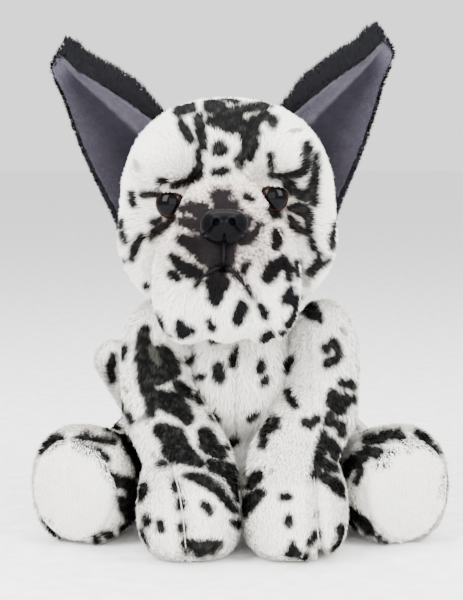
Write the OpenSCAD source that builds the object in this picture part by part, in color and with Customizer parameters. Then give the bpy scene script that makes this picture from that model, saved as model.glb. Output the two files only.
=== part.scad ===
// Sitting plush dog: pointed ears, heavy muzzle, two straight forelegs and splayed hind feet.
// Millimetres, +Z up, the face looks along -Y. "left" and "right" are the dog's own sides.
// The origin is on the floor, under the middle of the toy.

/* [Torso] */
// Width of the seat bulge
seat_w = 112; // [94:1:135]
// Depth of the seat bulge
seat_d = 98; // [82:1:118]
// Height of the centre of the seat bulge
seat_z = 55; // [46:1:66]
// Width of the flat base that the toy sits on
base_w = 80; // [66:1:96]
// Depth of the flat base
base_d = 68; // [56:1:82]
// Width of the chest, which is round about the neck
chest_w = 84; // [70:1:100]
// Height of the neck's top edge above the floor
neck_top = 133; // [128:1:138]

/* [Head] */
// Width of the head ball
head_w = 120; // [100:1:144]
// Depth of the head ball
head_d = 112; // [94:1:134]
// Height of the head ball
head_h = 126; // [105:1:151]
// Sideways set of the head, towards the dog's right
head_set = 7.5; // [0:0.5:9]
// Width across both jowls
muzzle_w = 78; // [66:1:92]
// How far the muzzle stands out from the head ball
muzzle_out = 37; // [31:1:44]
// Width of the strip that runs over the forehead
gusset_w = 22; // [16:1:28]

/* [Eyes and nose] */
// Diameter of a safety eye
eye_d = 16; // [12:0.5:20]
// Width of the moulded nose
nose_w = 27; // [22:0.5:33]
// Diameter of the barbed stems of the eyes and the nose
stem_d = 5; // [4:0.5:6]
// Length of the stems
stem_l = 15; // [12:0.5:18]

/* [Ears] */
// Length of an ear from the middle of its base to its tip
ear_l = 73; // [61:1:88]
// Width of an ear at its base
ear_w = 58; // [48:1:66]
// How deep the ear's fold is
ear_cup = 10; // [6:0.5:14]

/* [Forelegs] */
// Width of a forepaw
paw_w = 52; // [44:1:60]
// Length of a forepaw from heel to toe
paw_l = 66; // [55:1:78]
// Height of a forepaw
paw_h = 50; // [42:1:60]
// Height of the shoulder hinge above the floor
shoulder_z = 99; // [92:1:104]

/* [Hind legs] */
// Width of a hind foot, seen on its sole
foot_w = 54; // [46:1:64]
// Height of a hind foot, seen on its sole
foot_h = 64; // [54:1:74]
// Outward splay of the hind feet
foot_splay = 22; // [14:1:30]
// Radius of a thigh about its hip hinge
thigh_r = 27; // [22.5:0.5:32.5]

/* [Tail] */
// Thickness of the tail
tail_d = 22; // [18:0.5:26]

/* [Fabric] */
// Thickness of the plush with its backing
skin = 2.4; // [1.6:0.1:3]
// Width of the gap along a seam between two panels
seam = 0.12; // [0.08:0.02:0.3]
// Room between the fabric and the filling
fill_room = 0.25; // [0.15:0.05:0.5]
// Room between two parts that move against each other
move_room = 0.9; // [0.6:0.1:1.5]

/* [Hidden] */

soft_fn = 16;         // facets round a soft form
thread_fn = 6;        // facets round a thread or an ear's edge
LEFT = 1;             // the dog's left side is +X
RIGHT = -1;
FAR = 700;            // larger than the toy, for cutting blocks
coplanar_step = 0.01; // keeps two cuts from lying in one plane

white = [0.93, 0.92, 0.89];
black = [0.08, 0.08, 0.09];
grey = [0.33, 0.31, 0.36];
fibre = [0.97, 0.97, 0.96];

// ---- torso ----
seat_c = [0, 40, seat_z];
seat_r = [seat_w / 2, seat_d / 2, seat_z + 2];
base_t = 1;           // of the discs that keep a base flat
chest_r = [chest_w / 2, chest_w / 2, 40];
chest_c = [0, 24, neck_top - chest_r[2]];
belly_r = [31, 24, 32];
belly_c = [0, chest_c[1] - 25, chest_c[2] - 14];

// ---- forelegs: shoulder, elbow, wrist and paw, on the dog's left ----
paw_gap = 2;          // from the middle plane to a paw's inner side
shoulder_r = [19, 27, 27];      // round about the hinge
shoulder_c = [chest_w / 2 + 5, chest_c[1] - 28, shoulder_z];
elbow_r = [20.5, 25, 25];
elbow_c = [shoulder_c[0] - 2, shoulder_c[1] - 14, shoulder_z - 25];
wrist_r = [23, 21, 21];
wrist_c = [wrist_r[0] + 4.5, elbow_c[1] - 30, paw_h - 2];
paw_r = [paw_w / 2, paw_l / 2, paw_h / 2 + 1];
paw_c = [paw_w / 2 + paw_gap, wrist_c[1] - 9, paw_h / 2 - 1];
pad_r = [0.72 * paw_r[0], 0.76 * paw_r[1]];

// ---- hind legs, on the dog's left ----
hip_c = [seat_w / 2 - 4, seat_c[1], thigh_r + 5];
hip_r = [thigh_r, thigh_r, thigh_r + 6];
shank_r = [20, 24, 26];
shank_c = [hip_c[0] + 16, hip_c[1] - 34, shank_r[2] + 2];
foot_r = [foot_w / 2, 20, foot_h / 2];
foot_c = [shank_c[0] + 16, shank_c[1] - 34, foot_h / 2 - 0.8];
sole_r = [0.82 * foot_r[0], 0.84 * foot_r[2]];
sole_t = 3.2;
sole_front = 17;      // from the foot's centre to the flat that carries the sole

// ---- tail: root, two bends and tip ----
tail_r = tail_d / 2;
tail_root = [-6, seat_c[1] + seat_r[1] - 5, 32];
tail_line = [
    tail_root,
    tail_root + [-32, 9, 12],
    [-seat_r[0] - 7, tail_root[1] + 3, 62],
    [-seat_r[0] - 19, tail_root[1] - 14, 86]];

// ---- head ----
head_r = [head_w / 2, head_d / 2, head_h / 2];
head_c = [-head_set, chest_c[1] - 16, neck_top + head_r[2] - 18];
face_x = -head_set;             // the middle of the face
face_y = head_c[1] - head_r[1]; // the front of the head ball
neck_axis = [0, chest_c[1]];
bowl_r = [chest_r[0] + 5, chest_r[0] + 5, chest_r[2] + 4];

// The muzzle hangs from the bridge between the eyes to the two jowls.
jowl_r = [18, 22, 24];
jowl_x = muzzle_w / 2 - jowl_r[0];
jowl_y = face_y - muzzle_out + jowl_r[1];
jowl_z = head_c[2] - 37;
bridge_c = [face_x, face_y, head_c[2] + 4];
bridge_r = [20, 18, 18];
snout_c = [face_x, face_y - 17, head_c[2] - 8];
snout_r = [24, 20, 18];
chin_c = [face_x, jowl_y - 2, jowl_z - 4];
chin_r = [16, 20, 15];
cheek_back = 20;                // from the ball's front back to where the jowls are sewn on
cheek_up = 16;                  // how much higher they are there

// The brows bulge over the eyes.
brow_r = [23, 17, 19];
brow_out = [31, 20, 33];         // from the face's middle and the ball's front

// ---- safety eyes and nose ----
eye_r = eye_d / 2;
eye_yaw = 16;                   // outward turn of each eye
eye_spread = 29;                // from the face's middle to an eye
eye_set = 6;                    // how far an eye sits behind the head ball's front
eye_left_c = [face_x + eye_spread - 3, face_y + eye_set, head_c[2] + 13.5];   // a little higher than
eye_right_c = [face_x - eye_spread - 1, face_y + eye_set, head_c[2] + 9];     // the right one
flange_t = 1.6;
nose_r = [nose_w / 2, 9, 0.36 * nose_w];
nose_c = [face_x, snout_c[1] - snout_r[1] + 1, head_c[2] - 3];
washer_r = stem_d / 2 + 6;
washer_t = 2;
stem_fit = 0.15;                // radial room of a stem in the fabric and the washer

// ---- ears ----
ear_gap = 2;
felt_r = [1.6, 1.4];            // half thickness of the outer plush and the inner lining
ear_step = 3.3;                 // from the outer layer to the inner one
ear_back = 6;                   // how far behind the head ball's centre the ear is sewn on

// Origin under the middle of the toy.
front_y = paw_c[1] - paw_r[1];
back_y = tail_line[1][1] + tail_r;
shift = [0, -(front_y + back_y) / 2, 0];

// ---------------------------------------------------------------- helpers

function grown(r, g) = [for (v = r) v + g];
function mirrored(p, s) = [s * p[0], p[1], p[2]];

// An egg-shaped soft form, faceted.
module egg(c, r, turn = [0, 0, 0]) {
    translate(c) rotate(turn) hull() scale(r) sphere(r = 1, $fn = soft_fn);
}

// All of space below the height z.
module below(z) {
    translate([-FAR / 2, -FAR / 2, z - FAR]) cube(FAR);
}

// All of space on one side of the plane x = x0.
module beside(x0, s) {
    translate([s > 0 ? x0 : x0 - FAR, -FAR / 2, -FAR / 2]) cube(FAR);
}

// A round thread along a list of points.
module thread(points, r) {
    for (i = [1:len(points) - 1])
        hull() {
            translate(points[i - 1]) sphere(r = r, $fn = thread_fn);
            translate(points[i]) sphere(r = r, $fn = thread_fn);
        }
}

// ---------------------------------------------------------------- torso

module shoulder_pocket(s, g) {
    egg(mirrored(shoulder_c, s), grown(shoulder_r, g));
}

module torso_form(g) {
    difference() {
        union() {
            hull() {
                egg(seat_c, grown(seat_r, g));
                egg(chest_c, grown(chest_r, g));
                translate([0, seat_c[1], -g - base_t / 2])
                    scale([base_w / 2 + g, base_d / 2 + g, 1]) cylinder(r = 1, h = base_t, $fn = 2 * soft_fn);
            }
            egg(belly_c, grown(belly_r, g));
        }
        below(-g);
        for (s = [LEFT, RIGHT]) {
            shoulder_pocket(s, move_room + 1 - g);
            foreleg_form(s, move_room - g);
            egg(mirrored(hip_c, s), grown(hip_r, move_room - g));
            hindleg_form(s, move_room - g);
        }
        tail_stretch(1, move_room - g);
    }
}

module seat_block(g) {
    translate([0, seat_c[1], -1])
        scale([base_w / 2 - 6 + g, base_d / 2 - 6 + g, 1]) cylinder(r = 1, h = skin + 1.2, $fn = 2 * soft_fn);
}

module torso_cover(s) {
    color(white) intersection() {
        difference() {
            torso_form(0);
            torso_form(-skin);
            seat_block(seam);
        }
        beside(s * seam / 2, s);
    }
}

module seat_panel() {
    color(white) intersection() {
        difference() {
            torso_form(0);
            torso_form(-skin);
        }
        seat_block(0);
    }
}

// The pouch of pellets lies between the thighs, low in the seat.
pouch_t = 1;
pouch_fn = 32;
pellet_r = 2.4;
pouch_way_r = 9;      // of the way up through the filling by which the pouch went in
pouch_r = [hip_c[0] - hip_r[0] - move_room - skin - fill_room - 2, 25, 15];
pouch_c = [0, seat_c[1], pouch_r[2] + skin + 4];

module pouch_ball(g, facets = pouch_fn) {
    translate(pouch_c) scale(grown(pouch_r, g)) sphere(r = 1, $fn = facets);
}

module torso_stuffing() {
    color(fibre) difference() {
        torso_form(-skin - fill_room);
        pouch_ball(fill_room + 0.8, soft_fn);
        translate([0, seat_c[1], 0]) cylinder(r = pouch_way_r, h = pouch_c[2], $fn = soft_fn);
    }
}

module seat_pouch() {
    color([0.85, 0.83, 0.78]) difference() {
        pouch_ball(0);
        pouch_ball(-pouch_t);
    }
}

// Weighting pellets, packed in rows on three levels.
module seat_pellets() {
    pitch = 2 * pellet_r + 0.6;
    color([0.9, 0.9, 0.92])
        for (level = [-1:1], row = [-3:3], place = [-4:4]) {
            at = [place * pitch, row * pitch, level * pitch];
            room = grown(pouch_r, -pouch_t - pellet_r - 0.6);
            inside = pow(at[0] / room[0], 2) + pow(at[1] / room[1], 2) + pow(at[2] / room[2], 2);
            if (inside < 1 && (place + row) % 2 == 0)
                translate(pouch_c + at) sphere(r = pellet_r, $fn = 24);
        }
}

// The hand-sewn ring that closes the neck, laid in the room between the neck and the head.
neck_ring_z = neck_top - 5;
neck_ring_r = chest_r[0] * sqrt(1 - pow((neck_ring_z - chest_c[2]) / chest_r[2], 2));
module neck_stitch() {
    color(white) translate([neck_axis[0], neck_axis[1], neck_ring_z])
        rotate_extrude($fn = 64) translate([neck_ring_r + 1.2, 0]) circle(r = 0.5, $fn = 16);
}

// ---------------------------------------------------------------- head

module ball_form(g) {
    egg(head_c, grown(head_r, g));
    for (s = [LEFT, RIGHT])
        egg([face_x + s * brow_out[0], face_y + brow_out[1], head_c[2] + brow_out[2] + 2 * s], grown(brow_r, g));
}

module muzzle_form(g) {
    for (s = [LEFT, RIGHT])
        hull() {
            egg(bridge_c, grown(bridge_r, g));
            egg(snout_c, grown(snout_r, g));
            egg([face_x + s * jowl_x, jowl_y, jowl_z], grown(jowl_r, g));
            egg([face_x + s * jowl_x, face_y + cheek_back, jowl_z + cheek_up], grown(jowl_r, g));
        }
    hull() {
        egg(snout_c, grown(snout_r, g));
        egg(chin_c, grown(chin_r, g));
        egg([face_x, face_y + cheek_back, chin_c[2] + cheek_up], grown(chin_r, g));
    }
}

// The hollow under the head, round about the neck's axis, so that the head can turn.
module neck_bowl(g) {
    egg([neck_axis[0], neck_axis[1], chest_c[2]], grown(bowl_r, g));
}

module head_form(g) {
    difference() {
        union() {
            ball_form(g);
            muzzle_form(g);
        }
        neck_bowl(-g);
    }
}

module stem_holes(r) {
    eye_place(LEFT) rotate([90, 0, 0]) cylinder(r = r, h = 2 * stem_l, center = true, $fn = 32);
    eye_place(RIGHT) rotate([90, 0, 0]) cylinder(r = r, h = 2 * stem_l, center = true, $fn = 32);
    nose_place() rotate([90, 0, 0]) cylinder(r = r, h = 2 * stem_l, center = true, $fn = 32);
}

// Room for the parts of the eyes and the nose that stand in the fabric and behind it.
module fittings_room() {
    for (s = [LEFT, RIGHT])
        eye_place(s) rotate([90, 0, 0]) cylinder(r = eye_r + fitting_room, h = 2 * eye_r + 1, $fn = 32);
    for (s = [LEFT, RIGHT])
        eye_place(s) rotate([-90, 0, 0]) translate([0, 0, -fitting_room])
            cylinder(r = eye_r + fitting_room, h = flange_t + 2 * fitting_room, $fn = 32);
    nose_place() hull() nose_body(fitting_room);
    stem_holes(stem_d / 2 + stem_fit);
}

// Room for the washers, which press into the back of the fabric, from a distance in front of them.
module washer_room(front) {
    for (s = [LEFT, RIGHT])
        eye_place(s) translate([0, washer_at, 0]) washer_hole(front);
    nose_place() translate([0, nose_washer_at, 0]) washer_hole(front);
}

module washer_hole(front) {
    rotate([-90, 0, 0]) translate([0, 0, -front - fitting_room])
        cylinder(r = washer_r + fitting_room, h = stem_l, $fn = 32);
}

module head_skin() {
    difference() {
        head_form(0);
        head_form(-skin);
        fittings_room();
        washer_room(0);
        mouth_groove();
    }
}

module gusset_block(g) {
    translate([face_x - gusset_w / 2 - g, -FAR / 2, head_c[2] + 6 - g]) cube([gusset_w + 2 * g, FAR, FAR]);
}

module face_panel(s) {
    color(white) intersection() {
        difference() {
            head_skin();
            muzzle_form(seam);
            gusset_block(seam);
        }
        beside(face_x + s * seam / 2, s);
    }
}

module forehead_gusset() {
    color(white) intersection() {
        difference() {
            head_skin();
            muzzle_form(seam);
        }
        gusset_block(0);
    }
}

module muzzle_cover() {
    color(white) intersection() {
        head_skin();
        muzzle_form(coplanar_step);
    }
}

module head_stuffing() {
    color(fibre) difference() {
        head_form(-skin - fill_room);
        fittings_room();
        washer_room(3);
        mouth_groove();
    }
}

// ---------------------------------------------------------------- eyes, nose and mouth

washer_at = flange_t + 5.5;        // along a stem, from an eye's flange to its washer
fitting_room = 0.3;                // round the eyes, the nose and the washers
nose_washer_at = nose_r[1] + 0.8;

module eye_place(s) {
    translate(s == LEFT ? eye_left_c : eye_right_c) rotate([0, 0, s * eye_yaw]) children();
}

// Clear dome in front of the painted base.
module eye_lens(s) {
    color([0.75, 0.8, 0.85]) eye_place(s) rotate([90, 0, 0])
        rotate_extrude($fn = 64) polygon(concat([[0, 0]], dome_line, [[0, dome_h]]));
}
dome_h = 0.62 * eye_r;
dome_steps = 10;
dome_line = [for (i = [0:dome_steps - 1]) [eye_r * cos(90 * i / dome_steps), dome_h * sin(90 * i / dome_steps)]];

module stem() {
    cylinder(r = stem_d / 2, h = stem_l, $fn = 32);
    for (z = [5:2.5:stem_l - 1])
        translate([0, 0, z]) cylinder(r1 = stem_d / 2 + 0.1, r2 = stem_d / 2, h = 1, $fn = 32);
}

module eye_base(s) {
    color([0.3, 0.16, 0.08]) eye_place(s) translate([0, 0.05, 0]) rotate([-90, 0, 0]) {
        cylinder(r = eye_r, h = flange_t, $fn = 64);
        stem();
    }
}

module washer() {
    difference() {
        cylinder(r = washer_r, h = washer_t, $fn = 48);
        translate([0, 0, -1]) cylinder(r = stem_d / 2 + stem_fit, h = washer_t + 2, $fn = 32);
    }
}

module eye_washer(s) {
    color([0.9, 0.9, 0.88]) eye_place(s) translate([0, washer_at, 0]) rotate([-90, 0, 0]) washer();
}

module nose_place() {
    translate(nose_c) children();
}

// The moulded nose: broad on top and narrow below, without its stem.
module nose_body(g) {
    egg([0, 0, 0.12 * nose_w], [nose_r[0] + g, nose_r[1] + g, nose_r[2] * 0.72 + g]);
    egg([0, 0.5, -0.16 * nose_w], [nose_r[0] * 0.55 + g, nose_r[1] - 1 + g, nose_r[2] * 0.62 + g]);
}

module nose() {
    color(black) nose_place() {
        hull() nose_body(0);
        rotate([-90, 0, 0]) stem();
    }
}

module nose_washer() {
    color([0.9, 0.9, 0.88]) nose_place() translate([0, nose_washer_at, 0]) rotate([-90, 0, 0]) washer();
}

// Embroidered mouth: one stroke down from the nose and one to each side.
mouth_y = face_y - muzzle_out;
mouth_r = 0.6;
groove_room = 0.25;                // round a stitch that is sunk in the fabric
mouth_split = [face_x, mouth_y - 1, head_c[2] - 25];
module mouth_line(r) {
    thread([[face_x, mouth_y - 1.5, head_c[2] - 14], mouth_split], r);
    for (s = [LEFT, RIGHT])
        thread([mouth_split, mouth_split + [s * 7, 1.4, -6], mouth_split + [s * 13, 5, -13]], r);
}

module mouth_groove() {
    mouth_line(mouth_r + groove_room);
}

module mouth_stitch() {
    color(black) mouth_line(mouth_r);
}

// ---------------------------------------------------------------- ears

// Frame of an ear: where its base is on the head ball, seen from the front, and its lean.
ear_angle = [38, 149];          // left and right, from +X towards +Z
ear_lean = [54, 129];           // direction of the tip, from +X towards +Z

function ear_side(s) = s == LEFT ? 0 : 1;
function on_ball(angle, out) = [
    head_c[0] + (head_r[0] + out) * cos(angle), head_c[1] + ear_back, head_c[2] + (head_r[2] + out) * sin(angle)];

// Base corners, fold and tip of an ear, each a point on one layer.
function ear_points(s, back) =
    let (
        i = ear_side(s),
        half = asin(ear_w / (head_r[0] + head_r[2])),
        low = on_ball(ear_angle[i] - s * half, ear_gap + 1.2 + felt_r[0]),
        high = on_ball(ear_angle[i] + s * half, ear_gap + 1.2 + felt_r[0]),
        mid = on_ball(ear_angle[i] + s * 0.35 * half, ear_gap + 1.6 + felt_r[0]),
        root = on_ball(ear_angle[i], ear_gap),
        tip = root + ear_l * [cos(ear_lean[i]), 0, sin(ear_lean[i])]
    ) [
        low + [0, back, 0], mid + [0, ear_cup + back, 0], high + [0, back, 0],
        tip + [0, -5 + back, 0], (mid + tip) / 2 + [0, ear_cup * 0.4 + back, 0]];

module ear_layer(s, back, r) {
    p = ear_points(s, back);
    bulge = (p[0] + p[3]) / 2 + 3 * [cos(ear_angle[ear_side(s)] - s * 60), 0, sin(ear_angle[ear_side(s)] - s * 60)];
    for (corners = [[p[0], p[1], p[3], p[4], bulge], [p[1], p[2], p[3], p[4]]])
        hull() for (q = corners) translate(q) sphere(r = r, $fn = thread_fn);
}

module ear_outer(s) {
    color(black) difference() {
        ear_layer(s, 0, felt_r[0]);
        egg(head_c, grown(head_r, ear_gap));
    }
}

module ear_inner(s) {
    color(grey) difference() {
        ear_layer(s, -ear_step, felt_r[1]);
        ear_layer(s, 0, felt_r[0] + 0.05);
        egg(head_c, grown(head_r, ear_gap));
    }
}

// ---------------------------------------------------------------- forelegs

module foreleg_form(s, g) {
    difference() {
        union() {
            hull() {
                egg(mirrored(shoulder_c, s), grown(shoulder_r, g));
                egg(mirrored(elbow_c, s), grown(elbow_r, g));
            }
            hull() {
                egg(mirrored(elbow_c, s), grown(elbow_r, g));
                egg(mirrored(wrist_c, s), grown(wrist_r, g));
            }
            hull() {
                egg(mirrored(wrist_c, s), grown(wrist_r, g));
                egg(mirrored(paw_c, s), grown(paw_r, g));
                translate([s * paw_c[0], paw_c[1], -g - base_t / 2])
                    scale([pad_r[0] + g, pad_r[1] + g, 1]) cylinder(r = 1, h = base_t, $fn = 2 * soft_fn);
            }
        }
        below(-g);
    }
}

// The two panels of a leg meet along a plane down the middle of the shoulder and the paw.
function leg_split(s) = s * (shoulder_c[0] + paw_c[0]) / 2;

module foreleg_panel(s, outer) {
    color(white) intersection() {
        difference() {
            foreleg_form(s, 0);
            foreleg_form(s, -skin);
            toe_groove(s);
        }
        beside(leg_split(s) + (outer ? s : -s) * seam / 2, outer ? s : -s);
    }
}

toe_x = paw_c[0] + 2;
toe_r = 0.7;
function toe_point(s, t) = [
    s * toe_x, paw_c[1] - (paw_r[1] - 0.2) * cos(t), paw_c[2] + (paw_r[2] - 0.2) * sin(t)];
function toe_line(s) = [for (t = [-8:14:48]) toe_point(s, t)];   // degrees up round the toes

module toe_groove(s) {
    thread(toe_line(s), toe_r + groove_room);
}

module foreleg_toe_stitch(s) {
    color(white) thread(toe_line(s), toe_r);
}

module foreleg_stuffing(s) {
    color(fibre) difference() {
        foreleg_form(s, -skin - fill_room);
        toe_groove(s);
    }
}

// ---------------------------------------------------------------- hind legs

module foot_place(s) {
    translate(mirrored(foot_c, s)) rotate([0, 0, s * foot_splay]) children();
}

module hindleg_form(s, g) {
    difference() {
        union() {
            hull() {
                egg(mirrored(hip_c, s), grown(hip_r, g));
                egg(mirrored(shank_c, s), grown(shank_r, g));
            }
            hull() {
                egg(mirrored(shank_c, s), grown(shank_r, g));
                foot_place(s) {
                    egg([0, 0, 0], grown(foot_r, g));
                    translate([0, -sole_front - g, 0]) sole_disc(2 + g);
                }
            }
        }
        below(-g);
        foot_place(s) translate([-FAR / 2, -FAR - sole_front - g, -FAR / 2]) cube(FAR);
    }
}

module sole_disc(g) {
    rotate([90, 0, 0]) scale([sole_r[0] + g, sole_r[1] + g, 1]) cylinder(r = 1, h = 1, $fn = 2 * soft_fn);
}

module hindleg_sole(s) {
    color(white) difference() {
        foot_place(s) hull() {
            translate([0, -sole_front - seam, 0]) sole_disc(0);
            translate([0, -sole_front - sole_t + 1, 0]) sole_disc(-5);
        }
        below(0);
    }
}

module hindleg_panel(s, outer) {
    color(white) intersection() {
        difference() {
            hindleg_form(s, 0);
            hindleg_form(s, -skin);
        }
        translate(mirrored(hip_c, s)) rotate([0, 0, s * hind_turn])
            beside((outer ? s : -s) * seam / 2, outer ? s : -s);
    }
}
// Direction of the hind leg seen from above, along which its two panels meet.
hind_turn = atan2(foot_c[0] - hip_c[0], hip_c[1] - foot_c[1]);

module hindleg_stuffing(s) {
    color(fibre) hindleg_form(s, -skin - fill_room);
}

// ---------------------------------------------------------------- tail

// The stretch of the tail that ends at point i of its line.
module tail_stretch(i, g) {
    hull() {
        egg(tail_line[i - 1], grown([tail_r, tail_r, tail_r], g));
        egg(tail_line[i], grown([tail_r, tail_r, tail_r], g));
    }
}

module tail_form(g) {
    for (i = [1:len(tail_line) - 1]) tail_stretch(i, g);
}

// The cover is open towards the body, where it was filled and then sewn on.
module tail_cover() {
    color(white) difference() {
        tail_form(0);
        tail_form(-skin);
        translate(tail_root) rotate([90, 0, 0]) cylinder(r = tail_r - skin - 1, h = tail_d, $fn = soft_fn);
    }
}

module tail_stuffing() {
    color(fibre) tail_form(-skin - fill_room);
}

// ---------------------------------------------------------------- nodes

translate(shift) {
    torso_cover(LEFT);  // torso_cover_left
    torso_cover(RIGHT);  // torso_cover_right
    seat_panel();
    torso_stuffing();
    seat_pouch();
    seat_pellets();
    neck_stitch();
    face_panel(LEFT);  // face_left
    face_panel(RIGHT);  // face_right
    forehead_gusset();
    muzzle_cover();
    head_stuffing();
    eye_lens(LEFT);  // eye_left_lens
    eye_base(LEFT);  // eye_left_base
    eye_washer(LEFT);  // eye_left_washer
    eye_lens(RIGHT);  // eye_right_lens
    eye_base(RIGHT);  // eye_right_base
    eye_washer(RIGHT);  // eye_right_washer
    nose();
    nose_washer();
    mouth_stitch();
    ear_outer(LEFT);  // ear_left_outer
    ear_inner(LEFT);  // ear_left_inner
    ear_outer(RIGHT);  // ear_right_outer
    ear_inner(RIGHT);  // ear_right_inner
    foreleg_panel(LEFT, true);  // foreleg_left_outer
    foreleg_panel(LEFT, false);  // foreleg_left_inner
    foreleg_stuffing(LEFT);  // foreleg_left_stuffing
    foreleg_toe_stitch(LEFT);  // foreleg_left_toe_stitch
    foreleg_panel(RIGHT, true);  // foreleg_right_outer
    foreleg_panel(RIGHT, false);  // foreleg_right_inner
    foreleg_stuffing(RIGHT);  // foreleg_right_stuffing
    foreleg_toe_stitch(RIGHT);  // foreleg_right_toe_stitch
    hindleg_panel(LEFT, true);  // hindleg_left_outer
    hindleg_panel(LEFT, false);  // hindleg_left_inner
    hindleg_sole(LEFT);  // hindleg_left_sole
    hindleg_stuffing(LEFT);  // hindleg_left_stuffing
    hindleg_panel(RIGHT, true);  // hindleg_right_outer
    hindleg_panel(RIGHT, false);  // hindleg_right_inner
    hindleg_sole(RIGHT);  // hindleg_right_sole
    hindleg_stuffing(RIGHT);  // hindleg_right_stuffing
    tail_cover();
    tail_stuffing();
}
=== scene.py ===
"""Looks of a sitting plush dog with a black and white coat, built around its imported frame.

Sizes are millimetres in the frame's own axes (+Z up, the face looks along -Y) and meshes are made
in metres. "left" and "right" are the dog's own sides, so left is +X.
"""
import logging
import math
from collections.abc import Callable, Iterable
from dataclasses import dataclass, field
from enum import Enum

import bpy
import numpy as np
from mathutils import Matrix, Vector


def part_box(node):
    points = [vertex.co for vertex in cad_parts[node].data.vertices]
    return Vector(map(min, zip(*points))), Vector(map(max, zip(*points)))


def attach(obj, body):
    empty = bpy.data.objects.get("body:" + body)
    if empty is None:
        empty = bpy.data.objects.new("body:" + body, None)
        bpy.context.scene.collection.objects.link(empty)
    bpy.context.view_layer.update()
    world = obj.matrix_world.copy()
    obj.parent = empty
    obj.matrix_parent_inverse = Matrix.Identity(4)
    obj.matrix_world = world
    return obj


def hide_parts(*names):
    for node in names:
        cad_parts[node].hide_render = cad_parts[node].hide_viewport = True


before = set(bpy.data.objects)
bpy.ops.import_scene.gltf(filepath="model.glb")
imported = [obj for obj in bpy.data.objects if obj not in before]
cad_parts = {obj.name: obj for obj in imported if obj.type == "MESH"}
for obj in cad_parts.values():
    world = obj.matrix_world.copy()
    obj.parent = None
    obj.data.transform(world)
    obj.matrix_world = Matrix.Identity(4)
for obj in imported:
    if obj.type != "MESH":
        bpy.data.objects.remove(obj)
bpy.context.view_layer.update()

import openvdb
from mathutils import Vector
from mathutils.kdtree import KDTree

log = logging.getLogger("plush_dog")
MM = 0.001
Array = np.ndarray
Stroke = list[tuple[float, float, float]]
Flow = Callable[[np.ndarray, np.ndarray], np.ndarray]
EYE_POINT = np.array([-4.8, -1057.0, 240.0])
COAT_PLANE_Y = -7.0
SKIN_CLEAR = 0.4
HAIR_CLEAR = 0.3
ROOT_CLEAR = 0.2
COAT = "coat"
MIX_A, MIX_B, MIX_RESULT = 6, 7, 2


class Side(Enum):
    """The dog's own sides, as the sign of X."""

    LEFT = 1
    RIGHT = -1

    @property
    def word(self) -> str:
        """The side's name, as node names spell it."""
        return self.name.lower()


# ---------------------------------------------------------------- small maths


def unit(v: Array) -> Array:
    """Vectors of length one along the last axis."""
    return v / np.maximum(np.linalg.norm(v, axis=-1, keepdims=True), 1e-9)


def smoothstep(lo: float, hi: float, x: Array) -> Array:
    """0 below lo, 1 above hi, and a smooth step between them."""
    t = np.clip((x - lo) / (hi - lo), 0.0, 1.0)
    return t * t * (3.0 - 2.0 * t)


def lattice(ix: Array, iy: Array, iz: Array, seed: int) -> Array:
    """A repeatable random value from 0 to 1 at each whole-number point."""
    h = (ix * 374761393 + iy * 668265263 + iz * 2147483647 + seed * 974711) & 0xFFFFFFFF
    h = ((h ^ (h >> 13)) * 1274126177) & 0xFFFFFFFF
    return ((h ^ (h >> 16)) & 0xFFFFFF) / float(0xFFFFFF)


def noise(p: Array, size: float, seed: int) -> Array:
    """Smooth value noise.

    Args:
        p: Points, in mm, one a row.
        size: Width of a lump, in mm.
        seed: Which noise.

    Returns:
        One value from -1 to 1 for each point.
    """
    q = p / size
    i = np.floor(q).astype(np.int64)
    f = q - i
    f = f * f * (3.0 - 2.0 * f)
    total = np.zeros(len(p))
    for dx in (0, 1):
        for dy in (0, 1):
            for dz in (0, 1):
                w = (f[:, 0] if dx else 1 - f[:, 0]) * (f[:, 1] if dy else 1 - f[:, 1])
                w = w * (f[:, 2] if dz else 1 - f[:, 2])
                total += w * lattice(i[:, 0] + dx, i[:, 1] + dy, i[:, 2] + dz, seed)
    return 2.0 * total - 1.0


def front(p: Array) -> Array:
    """Where the sight line through each point meets the coat plane.

    Args:
        p: Points, in mm, one a row.

    Returns:
        Their across and up places on the plane that the coat is drawn on.
    """
    k = (COAT_PLANE_Y - EYE_POINT[1]) / (p[..., 1] - EYE_POINT[1])
    return np.stack([EYE_POINT[0] + (p[..., 0] - EYE_POINT[0]) * k,
                     EYE_POINT[2] + (p[..., 2] - EYE_POINT[2]) * k], -1)


def hairlines(lines: Iterable) -> list[Stroke]:
    """Lines on the coat plane as strokes of no width."""
    return [[(x, y, 0.0) for x, y in line] for line in lines]


def stroke_gap(uv: Array, strokes: list[Stroke]) -> Array:
    """Distance from points to the edge of the nearest brush stroke.

    Args:
        uv: Points on the coat plane, one a row.
        strokes: Lists of (across, up, radius) along each stroke.

    Returns:
        One distance in mm for each point, negative inside a stroke.
    """
    best = np.full(len(uv), 1e3)
    for line in strokes:
        pairs = zip(line[:-1], line[1:]) if len(line) > 1 else [(line[0], line[0])]
        for (ax, ay, ar), (bx, by, br) in pairs:
            ab = np.array([bx - ax, by - ay])
            rel = uv - (ax, ay)
            t = np.clip(rel @ ab / max(float(ab @ ab), 1e-6), 0.0, 1.0)
            d = np.hypot(rel[:, 0] - t * ab[0], rel[:, 1] - t * ab[1]) - (ar + (br - ar) * t)
            np.minimum(best, d, out=best)
    return best


# ---------------------------------------------------------------- soft forms


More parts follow.
